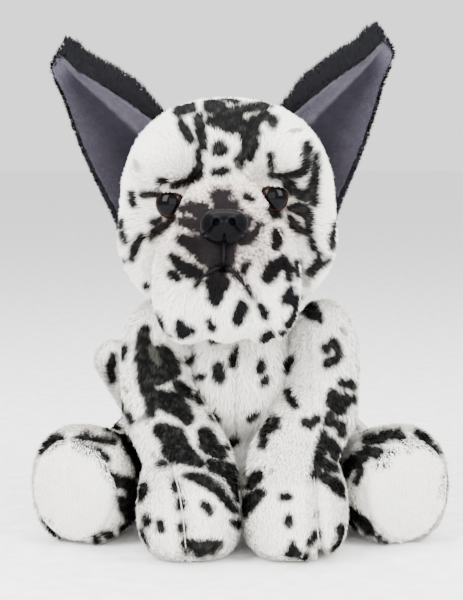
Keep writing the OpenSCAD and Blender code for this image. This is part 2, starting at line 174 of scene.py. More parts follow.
@dataclass(frozen=True)
class Egg:
    """An egg-shaped lump of filling."""

    centre: tuple[float, float, float]
    radii: tuple[float, float, float]
    yaw: float = 0.0
    power: float = 2.0

    def gap(self, p: Array) -> Array:
        """Distance from points to the egg's surface, negative inside."""
        q = p - np.array(self.centre, np.float32)
        if self.yaw:
            c, s = math.cos(math.radians(self.yaw)), math.sin(math.radians(self.yaw))
            q = np.stack([c * q[..., 0] + s * q[..., 1], c * q[..., 1] - s * q[..., 0], q[..., 2]], -1)
        r = np.array(self.radii, np.float32)
        if self.power != 2.0:
            k0 = (np.abs(q / r) ** self.power).sum(-1) ** (1.0 / self.power)
            return np.linalg.norm(q, axis=-1) * (1.0 - 1.0 / np.maximum(k0, 1e-3))
        k0 = np.linalg.norm(q / r, axis=-1)
        k1 = np.linalg.norm(q / (r * r), axis=-1)
        return k0 * (k0 - 1.0) / np.maximum(k1, 1e-6)

    def towards(self, other: "Egg", t: float) -> "Egg":
        """The egg a share t of the way to another one."""
        mix = [a + (b - a) * t for a, b in zip(self.centre + self.radii, other.centre + other.radii)]
        return Egg(tuple(mix[:3]), tuple(mix[3:]), self.yaw + (other.yaw - self.yaw) * t,
                   self.power + (other.power - self.power) * t)

    def flipped(self) -> "Egg":
        """Its mirror image on the dog's other side."""
        x, y, z = self.centre
        return Egg((-x, y, z), self.radii, -self.yaw, self.power)


def sweep(eggs: list[Egg], steps: int = 6) -> list[Egg]:
    """Eggs in close order along a chain of them."""
    out = [eggs[0]]
    for a, b in zip(eggs[:-1], eggs[1:]):
        out += [a.towards(b, (i + 1) / steps) for i in range(steps)]
    return out


def union(p: Array, eggs: list[Egg]) -> Array:
    """Distance from points to the nearest of several eggs."""
    best = eggs[0].gap(p)
    for egg in eggs[1:]:
        np.minimum(best, egg.gap(p), out=best)
    return best


def join(a: Array, b: Array, soft: float) -> Array:
    """Union of two distance fields with a fillet of about soft mm."""
    h = np.clip(0.5 + 0.5 * (b - a) / soft, 0.0, 1.0)
    return b + (a - b) * h - soft * h * (1.0 - h)


def blurred(f: Array, times: int) -> Array:
    """A distance field smoothed over its neighbours."""
    for _ in range(times):
        for axis in range(3):
            f = 0.25 * np.roll(f, 1, axis) + 0.5 * f + 0.25 * np.roll(f, -1, axis)
    return f


@dataclass
class Skin:
    """The sewn fabric of one part: points in mm, faces, normals."""

    points: Array
    faces: list
    normals: Array = field(default_factory=lambda: np.zeros((0, 3)))

    def triangles(self) -> Array:
        """Every face cut into triangles."""
        quads = self.faces[1]
        return np.concatenate([self.faces[0], quads[:, [0, 1, 2]], quads[:, [0, 2, 3]]])

    def box(self) -> tuple[Array, Array]:
        """Its lowest and highest corner."""
        return self.points.min(0), self.points.max(0)

    def settle(self) -> None:
        """Works out the normal at each point."""
        tri = self.triangles()
        a, b, c = (self.points[tri[:, i]] for i in range(3))
        cross = np.cross(b - a, c - a)
        n = np.zeros_like(self.points)
        for i in range(3):
            np.add.at(n, tri[:, i], cross)
        self.normals = unit(n)
        volume = float(np.einsum("ij,ij->i", a, np.cross(b, c)).sum())
        if volume < 0:
            self.faces = [self.faces[0][:, ::-1], self.faces[1][:, ::-1]]
            self.normals = -self.normals


@dataclass
class Sculpt:
    """Turns a distance field into a skin."""

    low: tuple[float, float, float]
    high: tuple[float, float, float]
    pitch: float = 1.6

    def __post_init__(self) -> None:
        """Lays out the grid of points."""
        axes = [np.arange(lo, hi, self.pitch, dtype=np.float32) for lo, hi in zip(self.low, self.high)]
        self.grid = np.stack(np.meshgrid(*axes, indexing="ij"), -1)

    def skin(self, distance: Array, floor: float | None = None) -> Skin:
        """The surface where the distance is nought, flattened where it stands on the floor."""
        if floor is not None:
            distance = np.maximum(distance, floor - self.grid[..., 2])
        for axis in range(3):
            edge = [slice(None)] * 3
            for end in (0, -1):
                edge[axis] = end
                distance[tuple(edge)] = np.maximum(distance[tuple(edge)], self.pitch)
        vdb = openvdb.FloatGrid(background=3.0 * self.pitch)
        vdb.copyFromArray(np.ascontiguousarray(distance, dtype=np.float32))
        points, tris, quads = vdb.convertToPolygons(isovalue=0.0, adaptivity=0.0)
        points = np.array(points, float) * self.pitch + np.array(self.low)
        faces = [np.array(part, np.int64).reshape(-1, n) for part, n in ((tris, 3), (quads, 4))]
        made = Skin(points, faces)
        made.settle()
        return made


@dataclass(frozen=True)
class Filling:
    """Swells a sewn skin with a short cloth simulation, as filling does, and keeps its size."""

    pitch: float = 5.0
    pressure: float = 4.0
    frames: int = 20
    slack: float = -0.03
    start: float = 1.0

    def swell(self, skin: Skin, most: float) -> None:
        """Moves the skin's points to where the cloth comes to rest.

        Args:
            skin: The skin, changed in place.
            most: The furthest that any point may move, in mm.
        """
        cloth = self.coarse(skin)
        before, normals = self.shape(cloth)
        settings = cloth.modifiers.new("cloth", "CLOTH").settings
        settings.use_pressure = True
        settings.uniform_pressure_force = self.pressure
        settings.shrink_min = self.slack
        settings.effector_weights.gravity = 0.0
        settings.bending_stiffness = 0.6
        for frame_number in range(1, self.frames + 1):
            bpy.context.scene.frame_set(frame_number)
        after, _ = self.shape(cloth)
        bpy.context.scene.frame_set(1)
        bpy.data.objects.remove(cloth, do_unlink=True)
        move = after - before
        move -= move.mean(0)
        out = (move * normals).sum(1)
        move = normals * (out - out.mean())[:, None] + (move - normals * out[:, None]) * 0.5
        far = np.linalg.norm(move, axis=1)
        move *= (np.minimum(far, most) / np.maximum(far, 1e-6))[:, None]
        self.follow(skin, before, move)

    def coarse(self, skin: Skin) -> bpy.types.Object:
        """An even, coarse copy of a skin, a little smaller."""
        cloth = mesh_object("cloth_copy", skin.points - self.start * skin.normals, skin.faces)
        remesh = cloth.modifiers.new("even", "REMESH")
        remesh.mode = "VOXEL"
        remesh.voxel_size = self.pitch * MM
        graph = bpy.context.evaluated_depsgraph_get()
        even = bpy.data.meshes.new_from_object(cloth.evaluated_get(graph))
        cloth.modifiers.clear()
        cloth.data = even
        return cloth

    @staticmethod
    def shape(cloth: bpy.types.Object) -> tuple[Array, Array]:
        """The points of the cloth as it is now, in mm, and its normals."""
        mesh = cloth.evaluated_get(bpy.context.evaluated_depsgraph_get()).data
        points, normals = np.zeros(3 * len(mesh.vertices)), np.zeros(3 * len(mesh.vertices))
        mesh.vertices.foreach_get("co", points)
        mesh.vertices.foreach_get("normal", normals)
        return points.reshape(-1, 3) / MM, normals.reshape(-1, 3)

    @staticmethod
    def follow(skin: Skin, anchors: Array, move: Array) -> None:
        """Carries the cloth's movement over to the fine skin."""
        tree = KDTree(len(anchors))
        for i, at in enumerate(anchors):
            tree.insert(at, i)
        tree.balance()
        for i, point in enumerate(skin.points):
            near = tree.find_n(point, 6)
            weights = np.array([1.0 / (0.8 + found[2]) ** 2 for found in near])
            share = weights @ move[[found[1] for found in near]] / weights.sum()
            skin.points[i] = point + share
        skin.points[:, 2] = np.maximum(skin.points[:, 2], SKIN_CLEAR)
        skin.settle()


# ---------------------------------------------------------------- meshes


def mesh_object(name: str, points: Array, faces: list, smooth: bool = True) -> bpy.types.Object:
    """A mesh piece in the scene.

    Args:
        name: The piece's name.
        points: Its points, in mm.
        faces: Arrays of faces, one array for each number of corners.
        smooth: Whether its faces are shaded smooth.

    Returns:
        The new object.
    """
    mesh = bpy.data.meshes.new(name)
    faces = [f for f in faces if len(f)]
    loops = np.concatenate([f.reshape(-1) for f in faces]).astype(np.int32)
    counts = np.concatenate([np.full(len(f), f.shape[1], np.int32) for f in faces])
    mesh.vertices.add(len(points))
    mesh.vertices.foreach_set("co", (np.asarray(points, np.float32) * MM).reshape(-1))
    mesh.loops.add(len(loops))
    mesh.loops.foreach_set("vertex_index", loops)
    mesh.polygons.add(len(counts))
    starts = np.concatenate([[0], np.cumsum(counts)[:-1]]).astype(np.int32)
    mesh.polygons.foreach_set("loop_start", starts)
    mesh.polygons.foreach_set("use_smooth", np.full(len(counts), smooth))
    mesh.update(calc_edges=True)
    mesh.validate()
    made = bpy.data.objects.new(name, mesh)
    bpy.context.collection.objects.link(made)
    return made


def grid_faces(columns: int, rows: int) -> Array:
    """The squares between points that run in rows."""
    i, j = (k.ravel() for k in np.meshgrid(np.arange(columns - 1), np.arange(rows - 1)))
    start = j * columns + i
    return np.stack([start, start + 1, start + columns + 1, start + columns], 1)


def round_faces(rings: int, sides: int) -> list[Array]:
    """Faces of a turned form: a first point, rings of points, and a last point."""
    i = np.arange(sides)
    j = (i + 1) % sides
    quads = []
    for ring in range(rings - 1):
        a, b = 1 + ring * sides, 1 + (ring + 1) * sides
        quads.append(np.stack([a + i, b + i, b + j, a + j], 1))
    last = 1 + (rings - 1) * sides
    caps = [np.stack([np.zeros(sides, int), 1 + i, 1 + j], 1),
            np.stack([np.full(sides, last + sides), last + j, last + i], 1)]
    return [np.concatenate(caps), np.concatenate(quads)]


def paint(made: bpy.types.Object, colours: Array) -> None:
    """Stores one colour for each point in the attribute that the finishes read."""
    layer = made.data.color_attributes.new(COAT, "FLOAT_COLOR", "POINT")
    rgba = np.ones((len(colours), 4), np.float32)
    rgba[:, :3] = colours
    layer.data.foreach_set("color", rgba.reshape(-1))


# ---------------------------------------------------------------- finishes


class Nodes:
    """A material's node tree, with short ways to add and join nodes."""

    def __init__(self, name: str) -> None:
        """Starts a material with its usual shader."""
        self.material = bpy.data.materials.new(name)
        self.material.use_nodes = True
        self.tree = self.material.node_tree
        self.shader = self.tree.nodes["Principled BSDF"]

    def add(self, kind: str, **settings: object) -> bpy.types.Node:
        """A new node with settings for its sockets and its own options."""
        node = self.tree.nodes.new("ShaderNode" + kind)
        for key, value in settings.items():
            if key.startswith("set_"):
                node.inputs[key[4:].replace("_", " ")].default_value = value
            else:
                setattr(node, key, value)
        return node

    def link(self, a: bpy.types.NodeSocket, b: bpy.types.NodeSocket) -> None:
        """Joins an output to an input."""
        self.tree.links.new(a, b)

    def noise(self, scale: float, detail: float = 3.0) -> bpy.types.Node:
        """Noise in the object's own space, with scale in lumps a metre."""
        node = self.add("TexNoise", set_Scale=scale, set_Detail=detail)
        self.link(self.add("TexCoord").outputs["Object"], node.inputs["Vector"])
        return node

    def ramp(self, value: bpy.types.NodeSocket, stops: list[tuple[float, tuple]]) -> bpy.types.Node:
        """A colour ramp over a value."""
        node = self.add("ValToRGB")
        while len(node.color_ramp.elements) < len(stops):
            node.color_ramp.elements.new(0.5)
        for element, (place, colour) in zip(node.color_ramp.elements, stops):
            element.position = place
            element.color = (*colour, 1.0)
        self.link(value, node.inputs["Fac"])
        return node

    def dyed(self, grain: bpy.types.Node, dark: tuple[float, float, float]) -> None:
        """Takes the colour from the coat attribute, darker where the grain is low."""
        dye = self.add("Attribute", attribute_name=COAT)
        shade = self.ramp(grain.outputs["Fac"], [(0.3, dark), (0.7, (1.0, 1.0, 1.0))])
        mix = self.add("Mix", data_type="RGBA", blend_type="MULTIPLY")
        mix.inputs[0].default_value = 1.0
        self.link(dye.outputs["Color"], mix.inputs[MIX_A])
        self.link(shade.outputs["Color"], mix.inputs[MIX_B])
        self.link(mix.outputs[MIX_RESULT], self.shader.inputs["Base Color"])

    def gloss(self, **values: float) -> None:
        """Sets the shader's own sockets, each named with _ for a space."""
        for name, value in values.items():
            self.shader.inputs[name.replace("_", " ")].default_value = value

    def bump(self, height: bpy.types.NodeSocket, strength: float, distance: float) -> None:
        """Bumps the surface by a height."""
        node = self.add("Bump", set_Strength=strength, set_Distance=distance)
        self.link(height, node.inputs["Height"])
        self.link(node.outputs["Normal"], self.shader.inputs["Normal"])

    def roughness(self, value: bpy.types.NodeSocket, low: float, high: float) -> None:
        """Lets a value move the roughness between two limits."""
        node = self.add("MapRange")
        node.inputs["To Min"].default_value = low
        node.inputs["To Max"].default_value = high
        self.link(value, node.inputs["Value"])
        self.link(node.outputs["Result"], self.shader.inputs["Roughness"])


@dataclass(frozen=True)
class PileFinish:
    """Dyed pile or its backing: the coat's colour, broken up a little from hair to hair."""

    name: str
    rough: tuple[float, float] = (0.62, 0.85)
    sheen: float = 0.0
    grain: float = 900.0
    dark: float = 0.86

    def make(self) -> bpy.types.Material:
        """Builds the material."""
        nodes = Nodes(self.name)
        grain = nodes.noise(self.grain)
        nodes.dyed(grain, (self.dark,) * 3)
        nodes.roughness(grain.outputs["Fac"], *self.rough)
        nodes.bump(grain.outputs["Fac"], 0.25, 0.0006)
        nodes.gloss(Sheen_Weight=self.sheen, Sheen_Roughness=0.45, Specular_IOR_Level=0.025)
        return nodes.material


@dataclass(frozen=True)
class MouldedFinish:
    """Polished moulded plastic with faint ripples and dust."""

    name: str
    colour: tuple[float, float, float] = (0.0015, 0.0015, 0.002)
    low: float = 0.16
    high: float = 0.26
    coat: float = 0.0
    mirror: float = 0.03

    def make(self) -> bpy.types.Material:
        """Builds the material."""
        nodes = Nodes(self.name)
        cloud = nodes.noise(140.0, 5.0)
        fine = nodes.noise(2600.0, 2.0)
        lighter = tuple(min(1.0, c * 1.3 + 0.0008) for c in self.colour)
        tint = nodes.ramp(cloud.outputs["Fac"], [(0.35, self.colour), (0.75, lighter)])
        nodes.link(tint.outputs["Color"], nodes.shader.inputs["Base Color"])
        nodes.roughness(cloud.outputs["Fac"], self.low, self.high)
        nodes.bump(fine.outputs["Fac"], 0.05, 0.0002)
        nodes.gloss(Specular_IOR_Level=self.mirror, Coat_Weight=self.coat, Coat_Roughness=0.08)
        return nodes.material


@dataclass(frozen=True)
class EyeFinish:
    """A safety eye: black pupil and brown iris under a polished dome."""

    name: str = "eye_dome"
    flecks: float = 1500.0
    mirror: float = 0.07

    def make(self) -> bpy.types.Material:
        """Builds the material, which reads the iris from the coat attribute."""
        nodes = Nodes(self.name)
        fleck = nodes.noise(self.flecks, 4.0)
        nodes.dyed(fleck, (0.62, 0.58, 0.55))
        nodes.roughness(fleck.outputs["Fac"], 0.03, 0.06)
        nodes.gloss(Specular_IOR_Level=self.mirror)
        return nodes.material


@dataclass(frozen=True)
class ClothFinish:
    """Plain woven or spun material: thread, filling, pouch cotton, a floor."""

    name: str
    colour: tuple[float, float, float]
    scale: float = 1400.0
    bump: float = 0.3
    rough: tuple[float, float] = (0.75, 0.95)

    def make(self) -> bpy.types.Material:
        """Builds the material."""
        nodes = Nodes(self.name)
        grain = nodes.noise(self.scale, 4.0)
        dark = tuple(c * 0.82 for c in self.colour)
        tint = nodes.ramp(grain.outputs["Fac"], [(0.3, dark), (0.7, self.colour)])
        nodes.link(tint.outputs["Color"], nodes.shader.inputs["Base Color"])
        nodes.roughness(grain.outputs["Fac"], *self.rough)
        nodes.bump(grain.outputs["Fac"], self.bump, 0.0004)
        nodes.gloss(Specular_IOR_Level=0.1)
        return nodes.material


class Wardrobe:
    """Every finish, made once and handed out by name."""

    def __init__(self) -> None:
        """Makes them all."""
        self.made: dict[str, bpy.types.Material] = {}
        for finish in (
            PileFinish("long_pile"),
            PileFinish("short_pile"),
            PileFinish("minky_pile", rough=(0.5, 0.75), sheen=0.05, grain=1500.0, dark=0.8),
            PileFinish("backing", grain=1800.0, dark=0.75),
            MouldedFinish("nose_plastic"),
            MouldedFinish("eye_plastic", colour=(0.03, 0.014, 0.008)),
            MouldedFinish("washer_plastic", colour=(0.75, 0.75, 0.72), low=0.4, high=0.55, coat=0.1),
            MouldedFinish("pellet_plastic", colour=(0.8, 0.8, 0.82), low=0.3, high=0.5, coat=0.1),
            EyeFinish(),
            ClothFinish("black_thread", (0.006, 0.006, 0.007), 3000.0, 0.6),
            ClothFinish("white_thread", (0.85, 0.83, 0.8), 3000.0, 0.6),
            ClothFinish("filling", (0.9, 0.9, 0.88), 500.0, 0.8),
            ClothFinish("pouch_cotton", (0.78, 0.74, 0.66), 2500.0, 0.5),
            ClothFinish("studio_floor", (0.97, 0.97, 0.97), 90.0, 0.02, (0.8, 0.9)),
        ):
            self.made[finish.name] = finish.make()

    def wear(self, made: bpy.types.Object, name: str) -> None:
        """Puts one finish on the whole of a piece."""
        made.data.materials.clear()
        made.data.materials.append(self.made[name])


# ---------------------------------------------------------------- the coat

WHITE = np.array([0.95, 0.93, 0.888])
BLACK = np.array([0.006, 0.006, 0.0065])
OLIVE = np.array([0.085, 0.086, 0.072])
# A brownish painted shade laid along seam lines.
SEAM_SHADE = np.array([0.62, 0.5, 0.38])
GREY = np.array([0.075, 0.075, 0.064])
BLUSH = np.array([0.33, 0.22, 0.2])
SMOKE = np.array([0.011, 0.009, 0.0095])
IRIS = np.array([0.022, 0.009, 0.0048])
PUPIL = np.array([0.0015, 0.0015, 0.002])
# The lining's grey: painted light on the flap, a middle tone, and painted shade in the hollow under the fold.
LINING_PAINTED_LIT = np.array([0.088, 0.081, 0.104])
LINING_MID = np.array([0.05, 0.045, 0.06])
LINING_PAINTED_SHADE = np.array([0.02, 0.018, 0.025])
# Painted shade towards each hair's root and a little painted light at its tip, for its five points.
HAIR_ROOT_SHADE_TIP_LIGHT = np.array([0.88, 0.88, 0.98, 0.98, 1.04])
SPRAY_BACK_Y = -25.0

FACE: list[Stroke] = [
    [(-34, 237.5, 2.5), (-28, 239, 3)], [(-33, 231, 1.5), (-30, 226, 2), (-27, 221, 1.5)],
    [(-23, 234, 2), (-22, 226, 2), (-20, 217, 1.5)], [(-23.5, 215, 1), (-22.5, 208, 1.2), (-24, 202, 2.5)],
    [(-24, 202, 2.2), (-30, 198.5, 1.2), (-38, 196, .8)], [(-16, 240, 4), (-11, 239, 3.5)],
    [(-17, 232, 2), (-10, 232, 4.5), (-4, 231, 6), (2, 228, 4)],
    [(-8, 236, 3), (4, 239, 2), (14, 240, 1.5)], [(-9, 245.5, 1), (-3, 244, 2)], [(-11.5, 216.5, 3.5)],
    [(-14, 203.5, 1.5), (-8, 204.5, 1.7)], [(-60.5, 192, 1), (-59.5, 186, 1)],
    [(-45, 198, 1.2), (-41.5, 198.5, 1)], [(-54, 191, 1.3), (-49, 191.5, 1.2), (-46, 192, 1)],
    [(-49, 176, .9), (-45, 177.5, .8)], [(-66.5, 176, .8), (-66.5, 173, .7)],
    [(-66, 170, .8), (-65, 165, .9)], [(-55, 168, 1), (-58, 164, 1.8), (-60, 158, 1.5), (-61, 155, .8)],
    [(-66, 154, .6)], [(-53, 140, .8)], [(13, 243, 1), (17, 241.5, 1)],
    [(4, 226, 4), (8, 232, 2.5), (14, 235, 2), (18, 232.5, 2.2), (18, 229.5, 1.3)],
    [(4, 225, 4), (6, 219, 4), (4, 213.5, 3.5), (-.5, 211, 2), (0, 207, 1.2)], [(9, 225, 2)],
    [(16.5, 213, .9), (17, 208, .9), (17.8, 205.5, .5)],
    [(37.5, 218.5, 1.8), (37, 211, 2), (35.5, 204, 1.8)],
    [(42, 213, 1), (42, 206, 1.8), (41, 199, 2.5), (40, 192, 3), (41, 187, 2)],
    [(17, 202, .8), (24, 201, 1.2), (30, 202, 1.8), (35, 204, 2)],
    [(27, 198, 2.5), (30, 193, 2.5), (36, 190, 2.5)],
    [(28, 184, 1.5), (33, 183.5, 3), (37, 181, 3), (38, 176, 2.5), (38, 171, 1.8)],
    [(28, 178, 1.2), (31, 174, 2.2), (34, 171, 1.5)], [(21, 181.5, .5), (22.5, 179, .5)],
    [(44, 158, 1), (42.5, 152, 1.8), (40, 147, 2)], [(39, 168, 1.3), (41, 161, 1.2)],
    [(54, 175, .7), (52, 167, 1.6), (52, 162, 1)], [(50, 155, .5), (46, 152, .8), (42, 148, 1)],
]
FACE_GREY: list[Stroke] = [
    [(-63, 214, 1.3), (-60.5, 218, 1)], [(-59, 210, 1), (-57, 206, 2)],
    [(-2, 209, .6), (2, 203, .8), (7, 198.5, .8)], [(28.5, 226, 1.3), (33, 227.5, 1.4)],
    # This stroke lies where shade falls between the muzzle and the cheek on the dog's left: partly a grey
    # mark, partly painted shade.
    [(35, 155, 1), (34.5, 148, 2), (37, 142, 3)],
]
MUZZLE: list[Stroke] = [
    [(-33, 166, 2.5), (-26, 163, 4), (-18, 158, 6.5), (-10, 157, 7)], [(-47, 171, 1.5), (-50, 167, 1.2)],
    [(-46, 171, 1.5), (-41, 174.5, 1.2), (-38, 178, 1)], [(32, 153, .8), (32.5, 146, 1)],
    [(-38, 156, 1.5), (-34, 152, 2.5), (-30, 148.5, 3.5), (-24, 147, 3)],
    [(-38.5, 147, 1.5), (-35.5, 145, 1.8)],
    [(-13.5, 147, 4), (-13, 141, 6), (-14, 134, 3.5), (-14, 131, 2)],
    [(-48, 122, 1.7), (-45, 116, 1.5), (-44, 113.5, .8)], [(-34, 119, 1), (-33, 114, 3.2), (-28, 114, 2)],
    [(-17.5, 119.5, .8), (-15.5, 116.5, 1.3)], [(-42, 112, .8), (-40, 110, .9)],
    [(3.5, 190.5, 1), (7, 188.7, .8)], [(17, 183, .9), (19.5, 179, 1)],
    [(21, 170, 1.8), (21, 165, 2.2), (20, 162, 1.6)], [(24, 153.5, 2.8), (19, 150, 3.5), (16, 145, 3.3)],
    [(24, 154, 2.5), (27.5, 149, 2.2), (27.8, 144, 1.3)], [(4.5, 152, 1.2), (2, 149, 1.5)],
    [(28.5, 137.5, 1.5), (26, 132, 2.3), (31, 132, 2.5)],
    [(32.5, 128, 1.5), (31.5, 122, 1.8), (28, 117.5, 1.8)], [(24, 113, 1.2), (27, 111.5, 1.3)],
    [(16, 113, 1.6), (14, 109, 1.8), (17.5, 111, 1.2)],
    [(0.5, 129.5, 1.8), (0, 124.5, 2.8), (-1.5, 119.5, 1.8)], [(3, 126, 1.5)],
    [(11.5, 128, .8), (14, 124.5, 1.4), (14.2, 122, .8)],
]
MUZZLE_SMOKE_AND_SHADE: list[Stroke] = [
    [(-33, 183, 3), (-29, 184, 4), (-22, 182, 6)], [(-32, 176, 4), (-24, 174, 5)],
    [(-46, 173, 2), (-41, 176, 2)], [(-12, 190, 6), (-7, 192, 4)],
    [(-9, 165, 8), (-9, 157, 6.5), (-9.5, 150, 3.5)], [(-20, 160, 4), (-18, 152, 3)],
    # These two strokes follow the mouth's crease: airbrushed smoke, and partly painted shade in the crease.
    [(-9.5, 150, 2.4), (-14, 149.5, 2.2), (-20, 146, 2), (-24.5, 140.5, 1.8)],
    [(-9.5, 150, 2.4), (-5, 148.5, 2.2), (0, 144, 2), (6.5, 134.5, 1.8)],
    [(2, 165, 4), (8, 168, 4), (11, 174, 3)],
]
MUZZLE_HAZE: list[Stroke] = [
    [(3, 158, 6), (12, 156, 4)], [(-14, 148, 4), (-9, 147, 5), (-3, 143, 4)], [(8, 166, 6), (12, 178, 4)],
    [(6, 136, 3), (8, 132, 2)], [(-27, 166, 6), (-27, 156, 5)],
]
BODY: list[Stroke] = [
    [(-15, 110, 2.2), (-11, 112.5, 1.8), (-9, 115, .8)], [(-29.5, 97, 1.1), (-27, 98.5, 1)],
    [(-24.5, 87.5, .9), (-21.5, 88, 1.1)], [(-12.5, 92.5, 2.8), (-12, 88, 3)],
    [(-2.5, 103, .8), (-4, 98, 1.6), (-4, 95.5, 1.6)], [(-25, 77, 1.3), (-23, 73.5, 1.3)],
    [(-16, 65.5, 1.4), (-13, 63.5, 1.2)], [(9.5, 66, 1), (6, 63.5, 1.1)],
    [(12.5, 96, 1.5), (12, 91.5, 1.6)], [(14.5, 87, 1.5), (13.5, 84.5, 1.5)],
    [(29, 98, 1.2), (27.5, 94.5, 1.8), (27, 92, 1.2)], [(-7, 48, 1.5), (-3, 51, 1.2)],
    [(43, 139, 1.6), (41, 136.5, 1.8), (38, 135, 2)],
    [(37, 133, 2.5), (39, 128, 3.5), (43, 123, 2.8), (45.5, 120.5, 1)],
]
BODY_GREY: list[Stroke] = [[(1.5, 67.5, 1.2)]]
TAIL: list[Stroke] = [[(-71.5, 98, 1), (-73.5, 93, 2), (-73, 88, 1.2), (-72.5, 84.5, .8)]]
ARM_RIGHT: list[Stroke] = [
    [(-54, 115, 2), (-55, 107, 3.5), (-52, 98, 7), (-50, 90, 7), (-39, 91, 4.5)],
    [(-45, 101, 5), (-38, 96, 3)], [(-54, 88, 4), (-52, 80, 3.5), (-50, 74, 3), (-51, 67, 2)],
    [(-36, 84, 2), (-31, 79, 2.5), (-29, 77, 1)],
    [(-45, 75, 5), (-38, 73, 6), (-33, 68, 4.5), (-30, 64, 3)],
    [(-45, 57, 4), (-38, 53, 6.5), (-36, 46, 7.5), (-30, 42, 4.5), (-23, 38.5, 2.2)],
    [(-20, 55, 3.5), (-18, 49, 5), (-13, 45, 3.5), (-10, 42.5, 1.5)],
    [(-18, 39, 1.2), (-11, 37.5, 1.6), (-4, 35, 1.6), (-2, 34.5, 1.2)],
    [(-17, 35, 1), (-10, 33, 1.6), (-5, 31, 2)], [(-65, 105.5, .7), (-66.5, 99, .8)],
    [(-68, 73, .8), (-67, 68.5, .8)], [(-63.5, 66.5, .8), (-62, 62, .8)],
    [(-46, 37.5, 1.3), (-43.5, 38, 1.3)], [(-55, 24.5, 1.5), (-56.5, 20, 1.8), (-58, 17, 1)],
    [(-54, 6.5, .8), (-53.5, 3, 1.5), (-52.5, 4, 1)], [(-46, 3, 1.3), (-45.5, -.5, 1.2)],
    [(-57, -2.5, 1.3), (-56, -8, 1.5), (-55, -13, 1.2)], [(-37, 27, 1), (-36.5, 22, .8)],
    [(-34.5, 16, 1.1), (-34, 12.5, 1.2)], [(-34, 1.5, 1), (-33, -1.5, 1)],
    [(-20.5, 14, 1.3), (-18, 11.5, 1.8), (-17, 9, 1)],
    [(-31, 31, .8), (-25, 30, 2.3), (-18, 26.5, 3), (-12, 22.5, 2.5), (-8, 17.5, 1.8), (-4.5, 12, 1.5),
     (-3, 10, 1)],
    [(-15, 34, 1), (-9, 32.5, 1.8), (-5, 29, 2), (-3, 23, 1.3), (-1.5, 17, .8)],
    [(-29, -10, 2.8), (-23, -12, 4.5), (-16, -11.5, 3.5), (-12.5, -9.5, 2)], [(-3.5, 3.5, 1), (-1, 2, 1.6)],
]
ARM_RIGHT_GREY: list[Stroke] = [
    [(-57, 63, 2), (-54, 65, 2.5), (-53, 61.5, 1.5)], [(-65, 82, 1.3), (-63.5, 78, .7)],
    [(-49.5, 44.5, 1.2), (-48.5, 42, .8)], [(-50, 104, 2.5), (-47, 97, 2.5)],
]
ARM_LEFT: list[Stroke] = [
    [(27.5, 79, 1), (28, 76.5, 1), (30, 74, 1.2), (31.5, 72, 1.3)],
    [(37, 61.5, 1.6), (40, 60.5, 1.8), (43.5, 64, 1.5)], [(16.5, 67, 1.2), (16, 61, 1.5), (14.5, 57, 2)],
    [(21, 63, 1.6), (19.5, 59.5, 2), (17, 57.5, 1.8)], [(14, 53, 1.8), (13.5, 48.5, 1.6)],
    [(48.5, 105, 1.6), (50, 103, 1.4)],
    [(52.5, 107.5, 2), (55, 104, 1.5), (56, 100, 1.5), (53, 97.5, 1.8), (49.5, 95.5, 1.7)],
    [(58, 84.5, 1.5), (62, 84, 2), (64, 82.5, 1.5)], [(53, 78, 2), (54, 73, 4), (59, 74, 4), (63, 75, 2.5)],
    [(57, 69.5, 3)], [(51.5, 66, 2), (49.5, 63, 1.5)],
    [(50, 61.5, 1.8), (54, 61, 2.5), (57.5, 60, 2.3), (58, 55.5, 2)],
    [(48, 57, 1.2), (46.5, 48, 2), (45, 40, 2.5), (44, 34, 2), (42, 30, 1)],
    [(51, 50, 3), (54, 45, 3.5), (57, 41, 2.5)], [(47, 39, 2.5), (50, 36, 2), (54, 35, 2)],
    [(48, 30, 2), (53, 27, 3), (57, 23, 2.5), (59.5, 19, 1)],
    [(11, 31.5, 2), (8.5, 28.5, 2.8), (6, 24.5, 1.8)],
    [(11, 20.5, 2.3), (7, 16.5, 3.5), (3.5, 12, 3), (2.5, 8, 1.2)], [(24.5, 18.5, 1.6), (27, 18.5, 2)],
    [(28, 5.5, 1.3), (28, 3.2, 1.6)], [(1, 34, .8), (1, 30, .6)], [(30, -9.5, 1.2), (30.5, -13, 2.8)],
    [(27.5, -15, 1.2), (34, -15.5, 1.2)], [(44, -3, 1), (42.5, -6.5, 1.7), (40, -9.5, 1)],
    [(38.5, -16, 1.1), (38, -18.5, .9)], [(58, 0, 1.2), (59.5, -5, 2), (58, -10, 2.3), (56, -13.5, 2.2)],
    [(61, -12, 1.2)],
]
ARM_LEFT_GREY: list[Stroke] = [
    [(57.5, 115.5, 1), (60, 112.5, 1)], [(16, 32, 1), (18.5, 33.5, 1.3)], [(44.5, 9, .8), (43.5, 6, 1.3)],
    [(7, -2, .9), (5.5, -4.5, 1)],
]
FOOT_RIGHT: list[Stroke] = [
    [(-115, 45, 1.5), (-109, 49.5, 3), (-103, 52, 2.2)], [(-94, 51.5, 1.5), (-88, 53, 1.8)],
    [(-86, 52, 1.2), (-79, 51.5, 1.2), (-72, 50.5, 1)],
    [(-94.5, 48, 1), (-88, 46, 3), (-81, 43.5, 3.2), (-77, 41, 2)],
    [(-79, 37, 1.8), (-75, 31, 2.2), (-69, 27, 3), (-63, 26, 3)],
    [(-66, 49.5, 1), (-62, 45.5, 2.2), (-59, 40, 2.2), (-57, 35, 1.8), (-57.5, 31, 1.5)],
    [(-68, 17, 2), (-65, 12, 3.5), (-62, 16, 2), (-61, 24, 2.5)], [(-63, 8, 3)],
    [(-66, -1, 2), (-63, 2, 2)], [(-78, -3, 1), (-74, -4, 1.3)], [(-83, -5.5, 1), (-81.5, -8, 1)],
    [(-112, 4, .5), (-108, -3, .6), (-103.5, -9, 1), (-96, -10.5, .7), (-90, -10.5, .5)],
    [(-75, 58, 1), (-71.5, 58.5, 2), (-68, 54, 1.5), (-66, 51, 1)],
]
